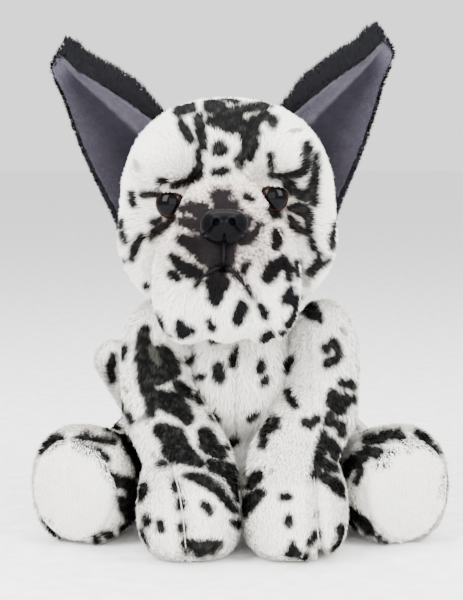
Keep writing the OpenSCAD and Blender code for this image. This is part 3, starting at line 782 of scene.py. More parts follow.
FOOT_LEFT: list[Stroke] = [
    [(73, 51, 2), (78, 52, 2.5), (84, 54, 1.8), (90, 54.5, 1.8), (93, 52, 1.2)],
    [(72, 46, 2), (76, 44, 2.8), (83, 42.5, 2.5), (90, 45, 1)], [(81, 39, 2.2), (84, 37.5, 2)],
    [(79, 36, 1.3)], [(70, 42, 3), (66, 40, 2.5), (62, 36, 2.5), (60, 31, 1.5)],
    [(67.5, 36, 1.8), (68, 31, 1.3), (66, 27, .7)], [(95, 50, 1.2), (98, 50.5, 1), (97, 46, 1.2)],
    [(101, 55.5, .8), (105, 53.5, 1.8), (107.5, 51, 1.8)], [(103, 48.7, 1), (108, 48.5, .9)],
    [(111, 46.5, 1.5), (113, 44, 1)], [(118, 29, .7), (118, 24, .7), (117, 18, .6)],
    [(63, 11, 1), (66, 7, 2), (70, 4.5, 2.5), (74, -1, 2), (76, -3, 1)],
    [(63, 4, 1.2), (64.5, -1, 1.5), (66, -6, 1.5), (72, -10.5, 1.2), (78, -12.5, .9), (83, -10, 1)],
    [(80, -6, .8)],
]
FOOT_LEFT_GREY: list[Stroke] = [[(67, 57.5, 1.5)]]


@dataclass
class Coat:
    """The black and white pattern of one part.

    In front it follows strokes that are drawn on a plane. Elsewhere it has scattered blots.
    """

    black: list[Stroke]
    grey: list[Stroke] = field(default_factory=list)
    seed: int = 1
    blots: int = 0
    region: tuple[Array, Array] | None = None
    plain: tuple[float, float, float] | None = None
    nose_at: tuple[float, float] | None = None
    spread: float = 1.0
    seams: tuple = ()
    deep: bool = False
    dye: Flow | None = None

    def scatter(self, p: Array) -> Array:
        """Distance to the scattered blots' edges, for the sides and the back."""
        if not self.blots or self.region is None:
            return np.full(len(p), 1e3)
        rng = np.random.default_rng(self.seed)
        lo, hi = self.region
        middle, half = (lo + hi) / 2, (hi - lo) / 2
        best = np.full(len(p), 1e3)
        for _ in range(self.blots):
            way = rng.normal(size=3)
            way /= np.linalg.norm(way)
            at = middle + way / np.linalg.norm(way / half)
            arm = rng.normal(size=3)
            arm *= rng.uniform(2.0, 11.0) / np.linalg.norm(arm)
            r = rng.uniform(2.2, 6.0) + 2.5 * (rng.random() < 0.25)
            rel = p - (at - arm)
            t = np.clip(rel @ (2 * arm) / float(4 * arm @ arm), 0.0, 1.0)
            d = np.linalg.norm(rel - t[:, None] * 2 * arm, axis=1) - r * (1.15 - 0.5 * t)
            np.minimum(best, d, out=best)
        return best

    def colours(self, p: Array, n: Array) -> Array:
        """Colour of the fabric or hair at points, with painted shade along any seam lines.

        Args:
            p: Points, in mm.
            n: Outward directions there.

        Returns:
            Red, green and blue for each point.
        """
        if self.dye is not None:
            return self.dye(p, n)
        if self.plain is not None:
            return np.tile(np.array(self.plain), (len(p), 1))
        uv = front(p)
        towards = (n * unit(EYE_POINT - p)).sum(1)
        seen = towards + 0.13 * noise(p, 7.0, self.seed + 10) > 0.05
        ragged = 0.75 * noise(p, 3.2, self.seed) + 0.55 * noise(p, 1.3, self.seed + 1)
        away = self.scatter(p) + 1.6 * noise(p, 5.0, self.seed + 2) + ragged
        gap = np.where(seen, stroke_gap(uv, self.black) - self.spread + ragged, away)
        out = np.tile(WHITE, (len(p), 1))
        warm = 0.02 * noise(p, 22.0, self.seed + 3)[:, None] * np.array([0.2, 0.6, 1.6])
        out = out - np.abs(warm)
        edge = smoothstep(2.3, -0.1, gap)[:, None] * 0.8
        out = out * (1 - edge) + OLIVE * edge
        core = smoothstep(0.45, -0.75, gap)[:, None]
        mottle = 0.0 if self.deep else (0.2 * smoothstep(-0.3, 0.8, noise(p, 2.4, self.seed + 4)))[:, None]
        out = out * (1 - core) + (BLACK * (1 - mottle) + OLIVE * mottle) * core
        if self.grey:
            g = smoothstep(0.8, -0.9, stroke_gap(uv, self.grey) + 1.3 * ragged)[:, None] * 0.7
            g = g * seen[:, None]
            out = out * (1 - g) + GREY * g
        if self.nose_at is not None:
            sprayed = (p[:, 1] < SPRAY_BACK_Y) & (smoothstep(0.02, 0.2, towards) > 0.3)
            out = np.where(sprayed[:, None], self.airbrush(out, p, uv), out)
        # Along the seam lines the colour is darkened by a brownish painted shade.
        if self.seams:
            near = np.abs(stroke_gap(uv, hairlines(self.seams)))
            seam_shade = (smoothstep(1.1, 0.2, near) * seen)[:, None] * 0.45
            out = out * (1 - seam_shade) + out * SEAM_SHADE * seam_shade
        return out

    def airbrush(self, out: Array, p: Array, uv: Array) -> Array:
        """The sprayed smoke and blush round the nose, with painted shade along the mouth's crease."""
        d = np.hypot((uv[:, 0] - self.nose_at[0]) / 1.25, uv[:, 1] - self.nose_at[1])
        speck = 0.5 + 0.5 * noise(p, 1.1, self.seed + 7)
        blush = smoothstep(56, 18, d) * (0.3 + 0.7 * smoothstep(0.3, 0.75, speck)) * 0.9
        blush = blush * smoothstep(120, 150, uv[:, 1])
        out = out * (1 - blush[:, None]) + BLUSH * out * 1.05 * blush[:, None]
        halo = smoothstep(17.5, 11.5, d + 3.0 * noise(p, 3.0, self.seed + 8))
        up = np.abs(uv[:, 0] - self.nose_at[0] - 1.0) / 9.0
        halo = np.maximum(halo, smoothstep(1.2, 0.7, up) * smoothstep(19, 15, uv[:, 1] - self.nose_at[1])
                          * smoothstep(0, 6, uv[:, 1] - self.nose_at[1]))
        # The smoke strokes also lay painted shade along the mouth's crease.
        smoke = smoothstep(2.6, -1.8, stroke_gap(uv, MUZZLE_SMOKE_AND_SHADE) + 1.8 * noise(p, 1.7, self.seed + 9))
        haze = smoothstep(4.0, -3.0, stroke_gap(uv, MUZZLE_HAZE)) * (0.25 + 0.5 * smoothstep(0.3, 0.8, speck))
        dark = np.clip(np.maximum(np.maximum(halo, smoke), haze), 0, 1)[:, None]
        return out * (1 - dark) + SMOKE * dark


# ---------------------------------------------------------------- pile


@dataclass
class Pile:
    """How the hairs of one fabric stand."""

    length: float = 6.0
    lift: float = 40.0
    width: float = 0.62
    per_mm2: float = 4.0
    most: int = 62000
    clump: float = 0.17
    wild: float = 0.13

    def grow(self, name: str, skin: Skin, coat: Coat, flow: Flow, seed: int,
             keep: Flow | None = None) -> bpy.types.Object:
        """Plants hairs all over a skin.

        Args:
            name: The new piece's name.
            skin: Where the hairs stand.
            coat: Their colours.
            flow: The way they lie.
            seed: Which random draws.
            keep: Tells how long each hair is, as a share of the full length; 0 leaves it out.

        Returns:
            One mesh with every hair as a narrow tapering ribbon.
        """
        rng = np.random.default_rng(seed)
        tri = skin.triangles()
        a, b, c = (skin.points[tri[:, i]] for i in range(3))
        area = 0.5 * np.linalg.norm(np.cross(b - a, c - a), axis=1)
        wanted = int(min(self.most, self.per_mm2 * area.sum()) * (1.0))
        pick = rng.choice(len(tri), wanted, p=area / area.sum())
        u, v = rng.random(wanted), rng.random(wanted)
        over = u + v > 1
        u[over], v[over] = 1 - u[over], 1 - v[over]
        w3 = np.stack([1 - u - v, u, v], 1)[:, :, None]
        root = (np.stack([a[pick], b[pick], c[pick]], 1) * w3).sum(1)
        normal = unit((skin.normals[tri[pick]] * w3).sum(1))
        share = np.ones(wanted) if keep is None else keep(root, normal)
        alive = share > 0.02
        root, normal, share = root[alive], normal[alive], share[alive]
        count = len(root)
        along = flow(root, normal)
        along = unit(along - (along * normal).sum(1)[:, None] * normal)
        drift = np.stack([noise(root, 4.5, seed + i) + 0.6 * noise(root, 1.8, seed + 3 + i)
                          for i in range(3)], 1)
        along = unit(along + self.clump * drift + self.wild * rng.normal(size=(count, 3)))
        along = unit(along - (along * normal).sum(1)[:, None] * normal)
        lift = np.radians(self.lift + 9.0 * rng.normal(size=count) + 7.0 * noise(root, 6.0, seed + 9))
        lift = np.clip(lift, 0.12, 1.4)[:, None]
        size = self.length * share * rng.uniform(0.78, 1.08, count)
        rise = unit(along * np.cos(lift + 0.25) + normal * np.sin(lift + 0.25))
        fall = unit(along * np.cos(lift - 0.35) + normal * np.sin(lift - 0.35))
        base = root - 0.35 * normal
        middle = base + rise * (0.5 * size)[:, None]
        tip = middle + fall * (0.5 * size)[:, None]
        for row, clear in ((tip, HAIR_CLEAR), (middle, HAIR_CLEAR), (base, ROOT_CLEAR)):
            row[row[:, 2] < clear, 2] = clear
        across = unit(np.cross(normal, along) + 0.4 * rng.normal(size=(count, 3)))
        face_way = np.cross(across, rise)
        side = np.where((face_way * normal).sum(1) < 0, -1.0, 1.0)[:, None]
        across, face_way = across * side, unit(face_way * side)
        half = (0.5 * self.width * rng.uniform(0.75, 1.2, count))[:, None]
        points = np.stack([base - across * half, base + across * half, middle - across * half * 0.85,
                           middle + across * half * 0.85, tip], 1).reshape(-1, 3)
        made = self.ribbons(name, points, count)
        shade = unit(normal * 0.8 + face_way * 0.35)
        made.data.normals_split_custom_set_from_vertices(np.repeat(shade, 5, 0).tolist())
        dye = coat.colours(root + (middle - root) * 0.9, normal)
        dye = dye * np.clip(1.0 + 0.045 * rng.normal(size=count), 0.8, 1.15)[:, None]
        # Each hair's colour is darkened towards its root as painted shade and lifted at its tip as painted
        # light.
        tint = (dye[:, None, :] * HAIR_ROOT_SHADE_TIP_LIGHT[None, :, None]).reshape(-1, 3)
        paint(made, np.clip(tint, 0.0, 0.97))
        return made

    @staticmethod
    def ribbons(name: str, points: Array, count: int) -> bpy.types.Object:
        """The mesh of all hairs, each with its own cell in a UV map."""
        start = 5 * np.arange(count)[:, None]
        quads = start + np.array([[0, 1, 3, 2]])
        tips = start + np.array([[2, 3, 4]])
        made = mesh_object(name, points, [quads, tips])
        cells = int(math.ceil(math.sqrt(count)))
        cell = np.stack([np.arange(count) % cells, np.arange(count) // cells], 1) / cells
        size = 1.0 / cells
        quad_uv = cell[:, None, :] + size * np.array([[0.1, 0.1], [0.9, 0.1], [0.8, 0.5], [0.2, 0.5]])
        tip_uv = cell[:, None, :] + size * np.array([[0.2, 0.5], [0.8, 0.5], [0.5, 0.9]])
        uv = np.concatenate([quad_uv.reshape(-1, 2), tip_uv.reshape(-1, 2)])
        layer = made.data.uv_layers.new(name="OFBake")
        layer.data.foreach_set("uv", uv.astype(np.float32).reshape(-1))
        return made


# ---------------------------------------------------------------- sewn parts


@dataclass
class Workshop:
    """What every part needs to make and finish its pieces."""

    wardrobe: Wardrobe
    filling: Filling = Filling()

    def hand_over(self, made: bpy.types.Object, body: str, slot: str, finish: str,
                  nodes: tuple[str, ...] = (), fill: float | None = None) -> bpy.types.Object:
        """Dresses a piece, ties it to its body and hides the frame's nodes that it stands for."""
        self.wardrobe.wear(made, finish)
        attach(made, body)
        if nodes:
            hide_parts(*nodes)
        log.info("%s rides on %s, %d faces, lowest %.1f mm", made.name, body, len(made.data.polygons),
                 min(v.co.z for v in made.data.vertices) / MM)
        return made

    def stuff(self, skin: Skin, most: float) -> Skin:
        """Lets filling swell a skin, moving no point further than most mm."""
        self.filling.swell(skin, most)
        return skin

    def sew(self, name: str, skin: Skin, coat: Coat, body: str, nodes: tuple[str, ...], fill: float = 0.8,
            slot: str = "plush_harlequin") -> bpy.types.Object:
        """Makes the backing fabric of a stuffed part from its skin."""
        made = mesh_object(name, skin.points, skin.faces)
        paint(made, coat.colours(skin.points + 1.5 * skin.normals, skin.normals) * 0.9)
        return self.hand_over(made, body, slot, "backing", nodes, fill)


def off_the_floor(p: Array, n: Array, share: Array | float) -> Array:
    """Leaves hair out where a part stands on the floor."""
    return np.where((p[:, 2] < 2.0) & (n[:, 2] < -0.6), 0.0, share)


def crease(p: Array, line: Iterable, width: float, deep: float) -> Array:
    """How far a seam pulls the fabric in.

    Args:
        p: Points, in mm, in any array shape.
        line: The seam's corners on the coat plane.
        width: Half its width, in mm.
        deep: Its depth, in mm.

    Returns:
        A depth for each point.
    """
    uv = front(p).reshape(-1, 2)
    d = stroke_gap(uv, hairlines([line]))
    return (deep * np.exp(-(d / width) ** 2)).reshape(p.shape[:-1])


@dataclass
class Torso:
    """The bean-shaped body, with a seam down the chest."""

    shop: Workshop
    seat: Egg = Egg((0, 33, 55), (55, 48, 56))
    chest: Egg = Egg((0, 17, 93), (41, 41, 39))
    belly: Egg = Egg((0, -8, 83), (31, 24, 27))
    seam: tuple = ((-3.0, 108.0), (-2.2, 50.0))
    under: tuple = ((-24.0, 50.0), (-3.0, 47.0), (18.0, 50.0))
    swell: float = 2.5

    def build(self) -> Skin:
        """Sculpts the skin and lets its filling swell it."""
        sculpt = Sculpt((-60, -34, -4), (60, 86, 136))
        p = sculpt.grid
        d = join(union(p, sweep([self.seat, self.chest], 5)), self.belly.gap(p), 10.0)
        d = blurred(d, 2) + crease(p, self.seam, 1.5, 2.4) * (p[..., 1] < 10)
        d = d + crease(p, self.under, 7.0, 7.0) * (p[..., 1] < 10)
        d = d + 1.4 * np.exp(-(p[..., 0] / 2.0) ** 2) * (p[..., 1] > 30)
        return self.shop.stuff(sculpt.skin(d, floor=SKIN_CLEAR), self.swell)

    def dress(self, skin: Skin) -> None:
        """Sews the fabric and grows its pile."""
        coat = Coat(BODY + TAIL, BODY_GREY, 11, 52, skin.box(), seams=(self.seam,))
        self.shop.sew("torso_plush", skin, coat, "torso",
                      ("torso_cover_left", "torso_cover_right", "seat_panel", "torso_stuffing"), 0.75)

        def flow(p: Array, n: Array) -> Array:
            """Down the body and a little outward."""
            return np.tile([0.0, 0.0, -1.0], (len(p), 1)) + 0.2 * n

        def keep(p: Array, n: Array) -> Array:
            """Full length, but none underneath."""
            return off_the_floor(p, n, 1.0)

        pile = Pile(5.2, 34, per_mm2=2.6)
        made = pile.grow("torso_pile", skin, coat, flow, 101, keep)
        self.shop.hand_over(made, "torso", "plush_harlequin", "long_pile")


@dataclass
class Head:
    """The round head with two brows over the eyes."""

    shop: Workshop
    eyes: dict
    muzzle: "Muzzle"
    ball: Egg = Egg((-7.0, 1, 181), (58.5, 54, 62), power=2.4)
    brows: tuple = (Egg((23, -37.5, 211), (20, 20, 17.5)), Egg((-38.5, -37.5, 208.5), (20.5, 20, 18)))
    cheeks: tuple = (Egg((22, -20, 165), (28, 22, 26)), Egg((-36, -20, 165), (28, 22, 26)))
    neck_bowl: Egg = Egg((0, 17, 93), (47.5, 47.5, 44.5))
    bare_bowl: Egg = Egg((0, 17, 93), (49, 49, 46))
    bridge: tuple = (-7.5, -60.0, 185.0)
    creases: tuple = (
        (((-26, 238), (-21, 217), (-22.5, 205)), 1.5, 1.2),
        (((9, 238), (3, 218), (1, 205)), 1.5, 1.2),
        (((17, 213), (17.5, 205)), 1.6, 3.4))
    muzzle_edges: tuple = (
        ((-22, 198), (-31, 189), (-38, 180), (-44, 170), (-47.5, 158), (-48.5, 147), (-47, 134), (-44, 122)),
        ((1, 206), (10, 198), (18, 188), (25, 178), (30, 170), (33, 158), (34.5, 146), (33.5, 130),
         (30, 118)))
    swell: float = 1.2

    def build(self) -> Skin:
        """Sculpts the skin and lets its filling swell it."""
        sculpt = Sculpt((-70, -62, 112), (57, 60, 248))
        p = sculpt.grid
        d = self.ball.gap(p)
        for brow in self.brows:
            d = join(d, brow.gap(p), 4.0)
        d = join(d, union(p, sweep(list(self.cheeks), 3)), 12.0)
        for side, eye in self.eyes.items():
            socket = Egg((eye.x, eye.y - 9.0, eye.z - 2.4), (8.8, 12.0, 7.8), side.value * 16.0)
            d = -join(-d, socket.gap(p), 2.5)
        d = np.maximum(blurred(d, 1), -self.neck_bowl.gap(p))
        for line, width, deep in self.creases:
            d = d + crease(p, line, width, deep)
        for line in self.muzzle_edges:
            d = d + crease(p, line, 3.2, 2.6) * (p[..., 1] < 0)
        return self.shop.stuff(sculpt.skin(d), self.swell)

    def dress(self, skin: Skin) -> None:
        """Sews the fabric and grows its pile."""
        coat = Coat(FACE + MUZZLE, FACE_GREY, 21, 40, skin.box(), nose_at=self.muzzle.nose_at(),
                    seams=self.muzzle_edges)
        self.shop.sew("face_plush", skin, coat, "head",
                      ("face_left", "face_right", "forehead_gusset", "head_stuffing"), 0.95)
        middle = np.array(self.bridge)
        eyes = self.eyes

        def flow(p: Array, n: Array) -> Array:
            """Away from the bridge of the nose, and away from each eye close to it."""
            way = unit(p - middle) * np.array([1.0, 0.7, 1.0])
            way = way + np.array([0.25, 0.0, -0.25]) * (p[:, 2:3] < 170)
            for eye in eyes.values():
                rel = p - np.array([eye.x, eye.y, eye.z])
                near = smoothstep(17, 9, np.linalg.norm(rel, axis=1))[:, None]
                above = smoothstep(2.0, 7.0, rel[:, 2])[:, None]
                lash = unit(rel) * (1 - above) + np.array([0.0, -0.4, -1.0]) * above
                way = way * (1 - near) + lash * near * 1.4
            return way

        def keep(p: Array, n: Array) -> Array:
            """Short round the eyes, none inside the sockets or under the neck."""
            share = np.ones(len(p))
            for eye in eyes.values():
                d = np.linalg.norm(p - np.array([eye.x, eye.y - 2.0, eye.z]), axis=1)
                share = np.minimum(share, 0.55 + 0.45 * smoothstep(9, 17, d))
                share[d < 8.2] = 0.0
            share[self.bare_bowl.gap(p) < 0] = 0.0
            inside = self.muzzle.gap(p)
            share[inside < 0.5] = 0.0
            low = smoothstep(200, 192, p[:, 2])
            return np.minimum(share, 1.0 - 0.5 * smoothstep(7.0, 1.0, inside) * low)

        left = skin.points[:, 0].mean()
        for side in Side:
            def half(p: Array, n: Array, side: Side = side) -> Array:
                """One side of the face only."""
                return keep(p, n) * ((p[:, 0] - left) * side.value > 0)
            pile = Pile(5.0, 36, per_mm2=4.4, most=118000)
            made = pile.grow("face_pile_" + side.word, skin, coat, flow, 200 + side.value, half)
            self.shop.hand_over(made, "head", "plush_harlequin", "long_pile")


JOWL_CREASES: list[list[tuple[float, float]]] = [
    [(-24.5, 140.5), (-28, 131), (-31, 119)], [(6.5, 134.5), (10, 125), (16, 116), (18, 110)],
]
MOUTH: list[list[tuple[float, float]]] = [
    [(-9, 164), (-9.2, 156), (-9.5, 150)],
    [(-9.5, 150), (-14, 149.5), (-20, 146), (-24.5, 140.5)],
    [(-9.5, 150), (-5, 148.5), (0, 144), (6.5, 134.5)],
]


@dataclass
class Muzzle:
    """The broad hanging muzzle with its two jowls and the chin between them."""

    shop: Workshop
    nose_centre: Vector
    bridge: Egg = Egg((-9, -52, 184), (23, 20, 19))
    stop: Egg = Egg((-9, -39, 205), (12, 13, 12))
    snout: Egg = Egg((-8, -70.5, 169), (26, 21.5, 19))
    jowl: Egg = Egg((20.5, -69, 140), (17.5, 21, 24))
    cheek: Egg = Egg((20.5, -33, 156), (19, 22, 25))
    chin: Egg = Egg((-7.5, -72, 134), (15, 18, 17))
    throat: Egg = Egg((-7.5, -40, 150), (15, 20, 15))
    middle_x: float = -7.5
    mouth_y: float = -55.0
    swell: float = 1.2

    def shapes(self) -> list[list[Egg]]:
        """The chains of eggs that the muzzle is made of."""
        out = []
        for sign in (1, -1):
            def over(egg: Egg, sign: int = sign) -> Egg:
                """An egg set out to one side of the face's middle."""
                x, y, z = egg.centre
                return Egg((self.middle_x + sign * x, y, z), egg.radii)
            out += [sweep([self.bridge, over(self.jowl)]), sweep([self.snout, over(self.jowl)]),
                    sweep([over(self.jowl), over(self.cheek)]), sweep([self.bridge, over(self.cheek)]),
                    sweep([self.snout, self.bridge, self.stop])]
        return out

    def build(self) -> Skin:
        """Sculpts the skin and lets its filling swell it."""
        sculpt = Sculpt((-56, -100, 104), (40, -10, 220), 1.4)
        p = sculpt.grid
        d = blurred(join(self.gap(p), union(p, sweep([self.chin, self.throat], 3)), 5.0), 2)
        for lines, width, deep in ((MOUTH, 2.4, 4.0), (JOWL_CREASES, 2.6, 2.0)):
            for line in lines:
                d = d + crease(p, line, width, deep) * (p[..., 1] < self.mouth_y)
        return self.shop.stuff(sculpt.skin(d), self.swell)

    def gap(self, p: Array) -> Array:
        """Distance from points to the muzzle, negative inside."""
        return union(p, [egg for chain in self.shapes() for egg in chain])

    def nose_at(self) -> tuple[float, float]:
        """The nose's place on the coat plane."""
        at = front(np.array([list(self.nose_centre)]))[0]
        return float(at[0]), float(at[1])

    def dress(self, skin: Skin) -> None:
        """Sews the fabric and grows its very short pile."""
        at = self.nose_at()
        coat = Coat(MUZZLE + FACE, FACE_GREY, 31, 8, skin.box(), nose_at=at, deep=True)
        self.shop.sew("muzzle_plush", skin, coat, "head", ("muzzle_cover",), 0.95, "plush_short")
        nose = np.array(list(self.nose_centre))

        def flow(p: Array, n: Array) -> Array:
            """Away from the nose, up the bridge and down the jowls."""
            return unit(p - nose - np.array([0.0, 12.0, 0.0])) * np.array([1.0, 0.8, 1.1])

        def keep(p: Array, n: Array) -> Array:
            """Longer towards the chin and the cheeks, thin along the mouth."""
            uv = front(p)
            d = np.hypot((uv[:, 0] - at[0]) / 1.25, uv[:, 1] - at[1])
            share = 0.5 + 0.5 * smoothstep(14, 46, d)
            mouth = stroke_gap(uv, hairlines(MOUTH))
            near = (mouth < 1.2) & (p[:, 1] < self.mouth_y)
            return np.where(near, 0.0, share)

        pile = Pile(4.0, 36, 0.52, 5.2, 62000, 0.3, 0.25)
        made = pile.grow("muzzle_pile", skin, coat, flow, 301, keep)
        self.shop.hand_over(made, "head", "plush_short", "short_pile")


def lathe(profile: list[tuple[float, float]], sides: int) -> tuple[Array, list]:
    """A turned form about Y, from (radius, depth) pairs.

    Args:
        profile: Radius and depth from the front's middle backwards.
        sides: Points round the form.

    Returns:
        Its points and its faces.
    """
    angle = np.linspace(0, 2 * np.pi, sides, endpoint=False)
    rings = [np.stack([r * np.cos(angle), np.full(sides, y), r * np.sin(angle)], 1) for r, y in profile[1:-1]]
    points = np.concatenate([[[0, profile[0][1], 0]], *rings, [[0, profile[-1][1], 0]]])
    return points, round_faces(len(profile) - 2, sides)


@dataclass
class Eye:
    """A safety eye: a domed front over a brown iris, and the flange behind it."""

    shop: Workshop
    side: Side
    centre: Vector
    radius: float = 8.0
    pupil: float = 6.3
    yaw: float = 14.0

    def build(self) -> None:
        """Makes the dome and the flange."""
        r = self.radius
        steps = 18
        dome = [(r * math.sin(math.pi / 2 * i / steps), -0.64 * r * math.cos(math.pi / 2 * i / steps))
                for i in range(steps + 1)]
        points, faces = lathe(dome + [(r * 0.99, 0.5), (0, 0.5)], 64)
        radial = np.hypot(points[:, 0], points[:, 2])
        iris = smoothstep(self.pupil - 0.25, self.pupil + 0.25, radial)[:, None]
        rim = smoothstep(r - 0.8, r - 0.2, radial)[:, None]
        colour = PUPIL * (1 - iris) + IRIS * iris
        colour = colour * (1 - 0.8 * rim)
        made = mesh_object(f"eye_{self.side.word}_dome", self.placed(points), faces)
        paint(made, colour)
        self.shop.hand_over(made, "head", "eye_lens", "eye_dome", (f"eye_{self.side.word}_lens",))
        rim_profile = [(0, 0.4), (r * 0.98, 0.4), (r + 0.35, 0.7), (r + 0.4, 1.3), (r, 1.8), (2.6, 1.9),
                       (2.5, 9.0), (0, 9.0)]
        points, faces = lathe(rim_profile, 48)
        made = mesh_object(f"eye_{self.side.word}_flange", self.placed(points), faces)
        self.shop.hand_over(made, "head", "eye_iris", "eye_plastic", (f"eye_{self.side.word}_base",))

    def placed(self, points: Array) -> Array:
        """Points turned outward and set at the eye."""
        a = math.radians(self.side.value * self.yaw)
        x = points[:, 0] * math.cos(a) - points[:, 1] * math.sin(a)
        y = points[:, 0] * math.sin(a) + points[:, 1] * math.cos(a)
        return np.stack([x, y, points[:, 2]], 1) + np.array(list(self.centre))


@dataclass
class Nose:
    """The moulded nose: a domed button with two nostrils, their grooves and a slit below."""

    shop: Workshop
    centre: Vector
    half_w: float = 12.6
    half_h: float = 9.4
    deep: float = 8.0
    behind: float = 7.0
    nostril: tuple[float, float] = (4.2, 3.0)

    def build(self) -> None:
        """Makes the nose as one relief over a rounded outline."""
        rings, sides = 56, 160
        points = [(0.0, 0.0, 0.0)]
        for ring in range(1, rings + 1):
            t = ring / rings
            for k in range(sides):
                a = 2 * math.pi * k / sides
                x, z = self.outline(a)
                points.append((x * t, t, z * t))
        points = np.array(points)
        t = np.clip(points[:, 1], 0, 1)
        x, z = points[:, 0], points[:, 2]
        depth = -self.deep * (1 - t ** 3.2) ** 0.72
        depth += self.relief(x, z) * smoothstep(1.0, 0.9, t)
        points = np.stack([x, depth, z], 1)
        back = points[-sides:].copy()
        back[:, 1] += self.behind
        back[:, [0, 2]] *= 0.9
        points = np.concatenate([points, back, [[0, self.behind, 0]]])
        made = mesh_object("nose_button", points + np.array(list(self.centre)), round_faces(rings + 1, sides))
        self.shop.hand_over(made, "head", "nose", "nose_plastic", ("nose",))

    def outline(self, a: float) -> tuple[float, float]:
        """The rim at an angle: wide and round on top, drawn in to a shallow point below."""
        c, s = math.cos(a), math.sin(a)
        n = 2.6
        r = (abs(c) ** n + abs(s) ** n) ** (-1 / n)
        x, z = self.half_w * r * c, self.half_h * r * s
        if z < 0:
            x *= 1 - 0.24 * (-z / self.half_h) ** 2.0
        return x, z

    def relief(self, x: Array, z: Array) -> Array:
        """How far nostrils, grooves and slit are sunk, with low ridges beside them."""
        out = np.zeros(len(x))
        for sign in (-1, 1):
            d = np.hypot(x - sign * self.nostril[0], z - self.nostril[1])
            out += 2.6 * smoothstep(2.1, 1.3, d) - 0.55 * np.exp(-((d - 2.5) / 0.7) ** 2)
            out -= 0.9 * np.exp(-(d / 1.05) ** 2)
            uv = np.stack([sign * x, z], 1)
            groove = stroke_gap(uv, [[(5.2, 1.6, 0.0), (8.2, -2.0, 0.0), (11.2, -4.9, 0.0)]])
            out += 1.25 * np.exp(-(groove / 0.65) ** 2) - 0.35 * np.exp(-((groove - 1.5) / 0.8) ** 2)
        slit = stroke_gap(np.stack([x, z], 1), [[(0, -3.2, 0.1), (0, -9.5, 0.9)]])
        out += 1.9 * smoothstep(0.7, -0.2, slit)
        return out


def tube(name: str, path: Array, radius: float, sides: int = 8, ply: float = 0.0) -> bpy.types.Object:
    """A round thread along points, with rounded ends and a slight twist of its plies.

    Args:
        name: The piece's name.
        path: Points along it, in mm.
        radius: Its radius, in mm.
        sides: Points round it.
        ply: How deep the twist is, as a share of the radius.

    Returns:
        The new object.
    """
    step = np.concatenate([[0], np.cumsum(np.linalg.norm(np.diff(path, axis=0), axis=1))])
    want = np.linspace(0, step[-1], max(6, int(step[-1] / 0.35)))
    line = np.stack([np.interp(want, step, path[:, i]) for i in range(3)], 1)
    along = unit(np.gradient(line, axis=0))
    up = np.tile([0.13, -1.0, 0.21], (len(line), 1))
    a = unit(np.cross(along, up))
    b = np.cross(a, along)
    angle = np.linspace(0, 2 * np.pi, sides, endpoint=False)
    ends = np.clip(np.minimum(want, step[-1] - want) / radius, 0.15, 1.0) ** 0.5
    rings = []
    for i, at in enumerate(line):
        r = radius * ends[i] * (1 + ply * np.cos(2 * (angle + want[i] * 1.6)))
        rings.append(at + r[:, None] * (np.cos(angle)[:, None] * a[i] + np.sin(angle)[:, None] * b[i]))
    points = np.concatenate([*rings, line[:1], line[-1:]])
    k = np.arange(sides)
    j = (k + 1) % sides
    quads = [np.stack([r * sides + k, r * sides + j, (r + 1) * sides + j, (r + 1) * sides + k], 1)
             for r in range(len(line) - 1)]
    n = len(line) * sides
    caps = [np.stack([np.full(sides, n), j, k], 1),
            np.stack([np.full(sides, n + 1), n - sides + k, n - sides + j], 1)]
    return mesh_object(name, points, [np.concatenate(caps), np.concatenate(quads)])


def on_surface(skin: Skin, line: Iterable, out: float, spacing: float = 0.8) -> Array:
    """Points on a skin under a line drawn on the coat plane.

    Args:
        skin: The fabric.
        line: Corners of the line.
        out: How far in front of the fabric the points stand, in mm.
        spacing: Distance between points, in mm.

    Returns:
        One point a row, in mm.
    """
    corners = np.array(list(line), float)
    step = np.concatenate([[0], np.cumsum(np.linalg.norm(np.diff(corners, axis=0), axis=1))])
    want = np.arange(0, step[-1], spacing)
    uv = np.stack([np.interp(want, step, corners[:, i]) for i in range(2)], 1)
    seen = skin.points[(skin.normals[:, 1] < -0.05)]
    flat = front(seen)
    points = []
    for at in uv:
        near = np.hypot(*(flat - at).T)
        close = np.argsort(near)[:24]
        depth = seen[close, 1]
        best = close[depth < depth.min() + 4.0]
        weight = 1.0 / (0.2 + near[best])
        y = float((seen[best, 1] * weight).sum() / weight.sum()) - out
        k = (y - EYE_POINT[1]) / (COAT_PLANE_Y - EYE_POINT[1])
        points.append((EYE_POINT[0] + (at[0] - EYE_POINT[0]) * k, y,
                       EYE_POINT[2] + (at[1] - EYE_POINT[2]) * k))
    return np.array(points)


@dataclass
class Mouth:
    """The mouth, drawn by one thread down from the nose and one to each side."""

    shop: Workshop

    def build(self, skin: Skin) -> None:
        """Lays the threads in their crease."""
        parts = [tube(f"mouth_thread_{i}", on_surface(skin, line, 0.4), 0.95, 8, 0.12)
                 for i, line in enumerate(MOUTH)]
        bpy.ops.object.select_all(action="DESELECT")
        for part in parts:
            part.select_set(True)
        bpy.context.view_layer.objects.active = parts[0]
        bpy.ops.object.join()
        parts[0].name = "mouth_thread"
        self.shop.hand_over(parts[0], "head", "thread_black", "black_thread", ("mouth_stitch",))


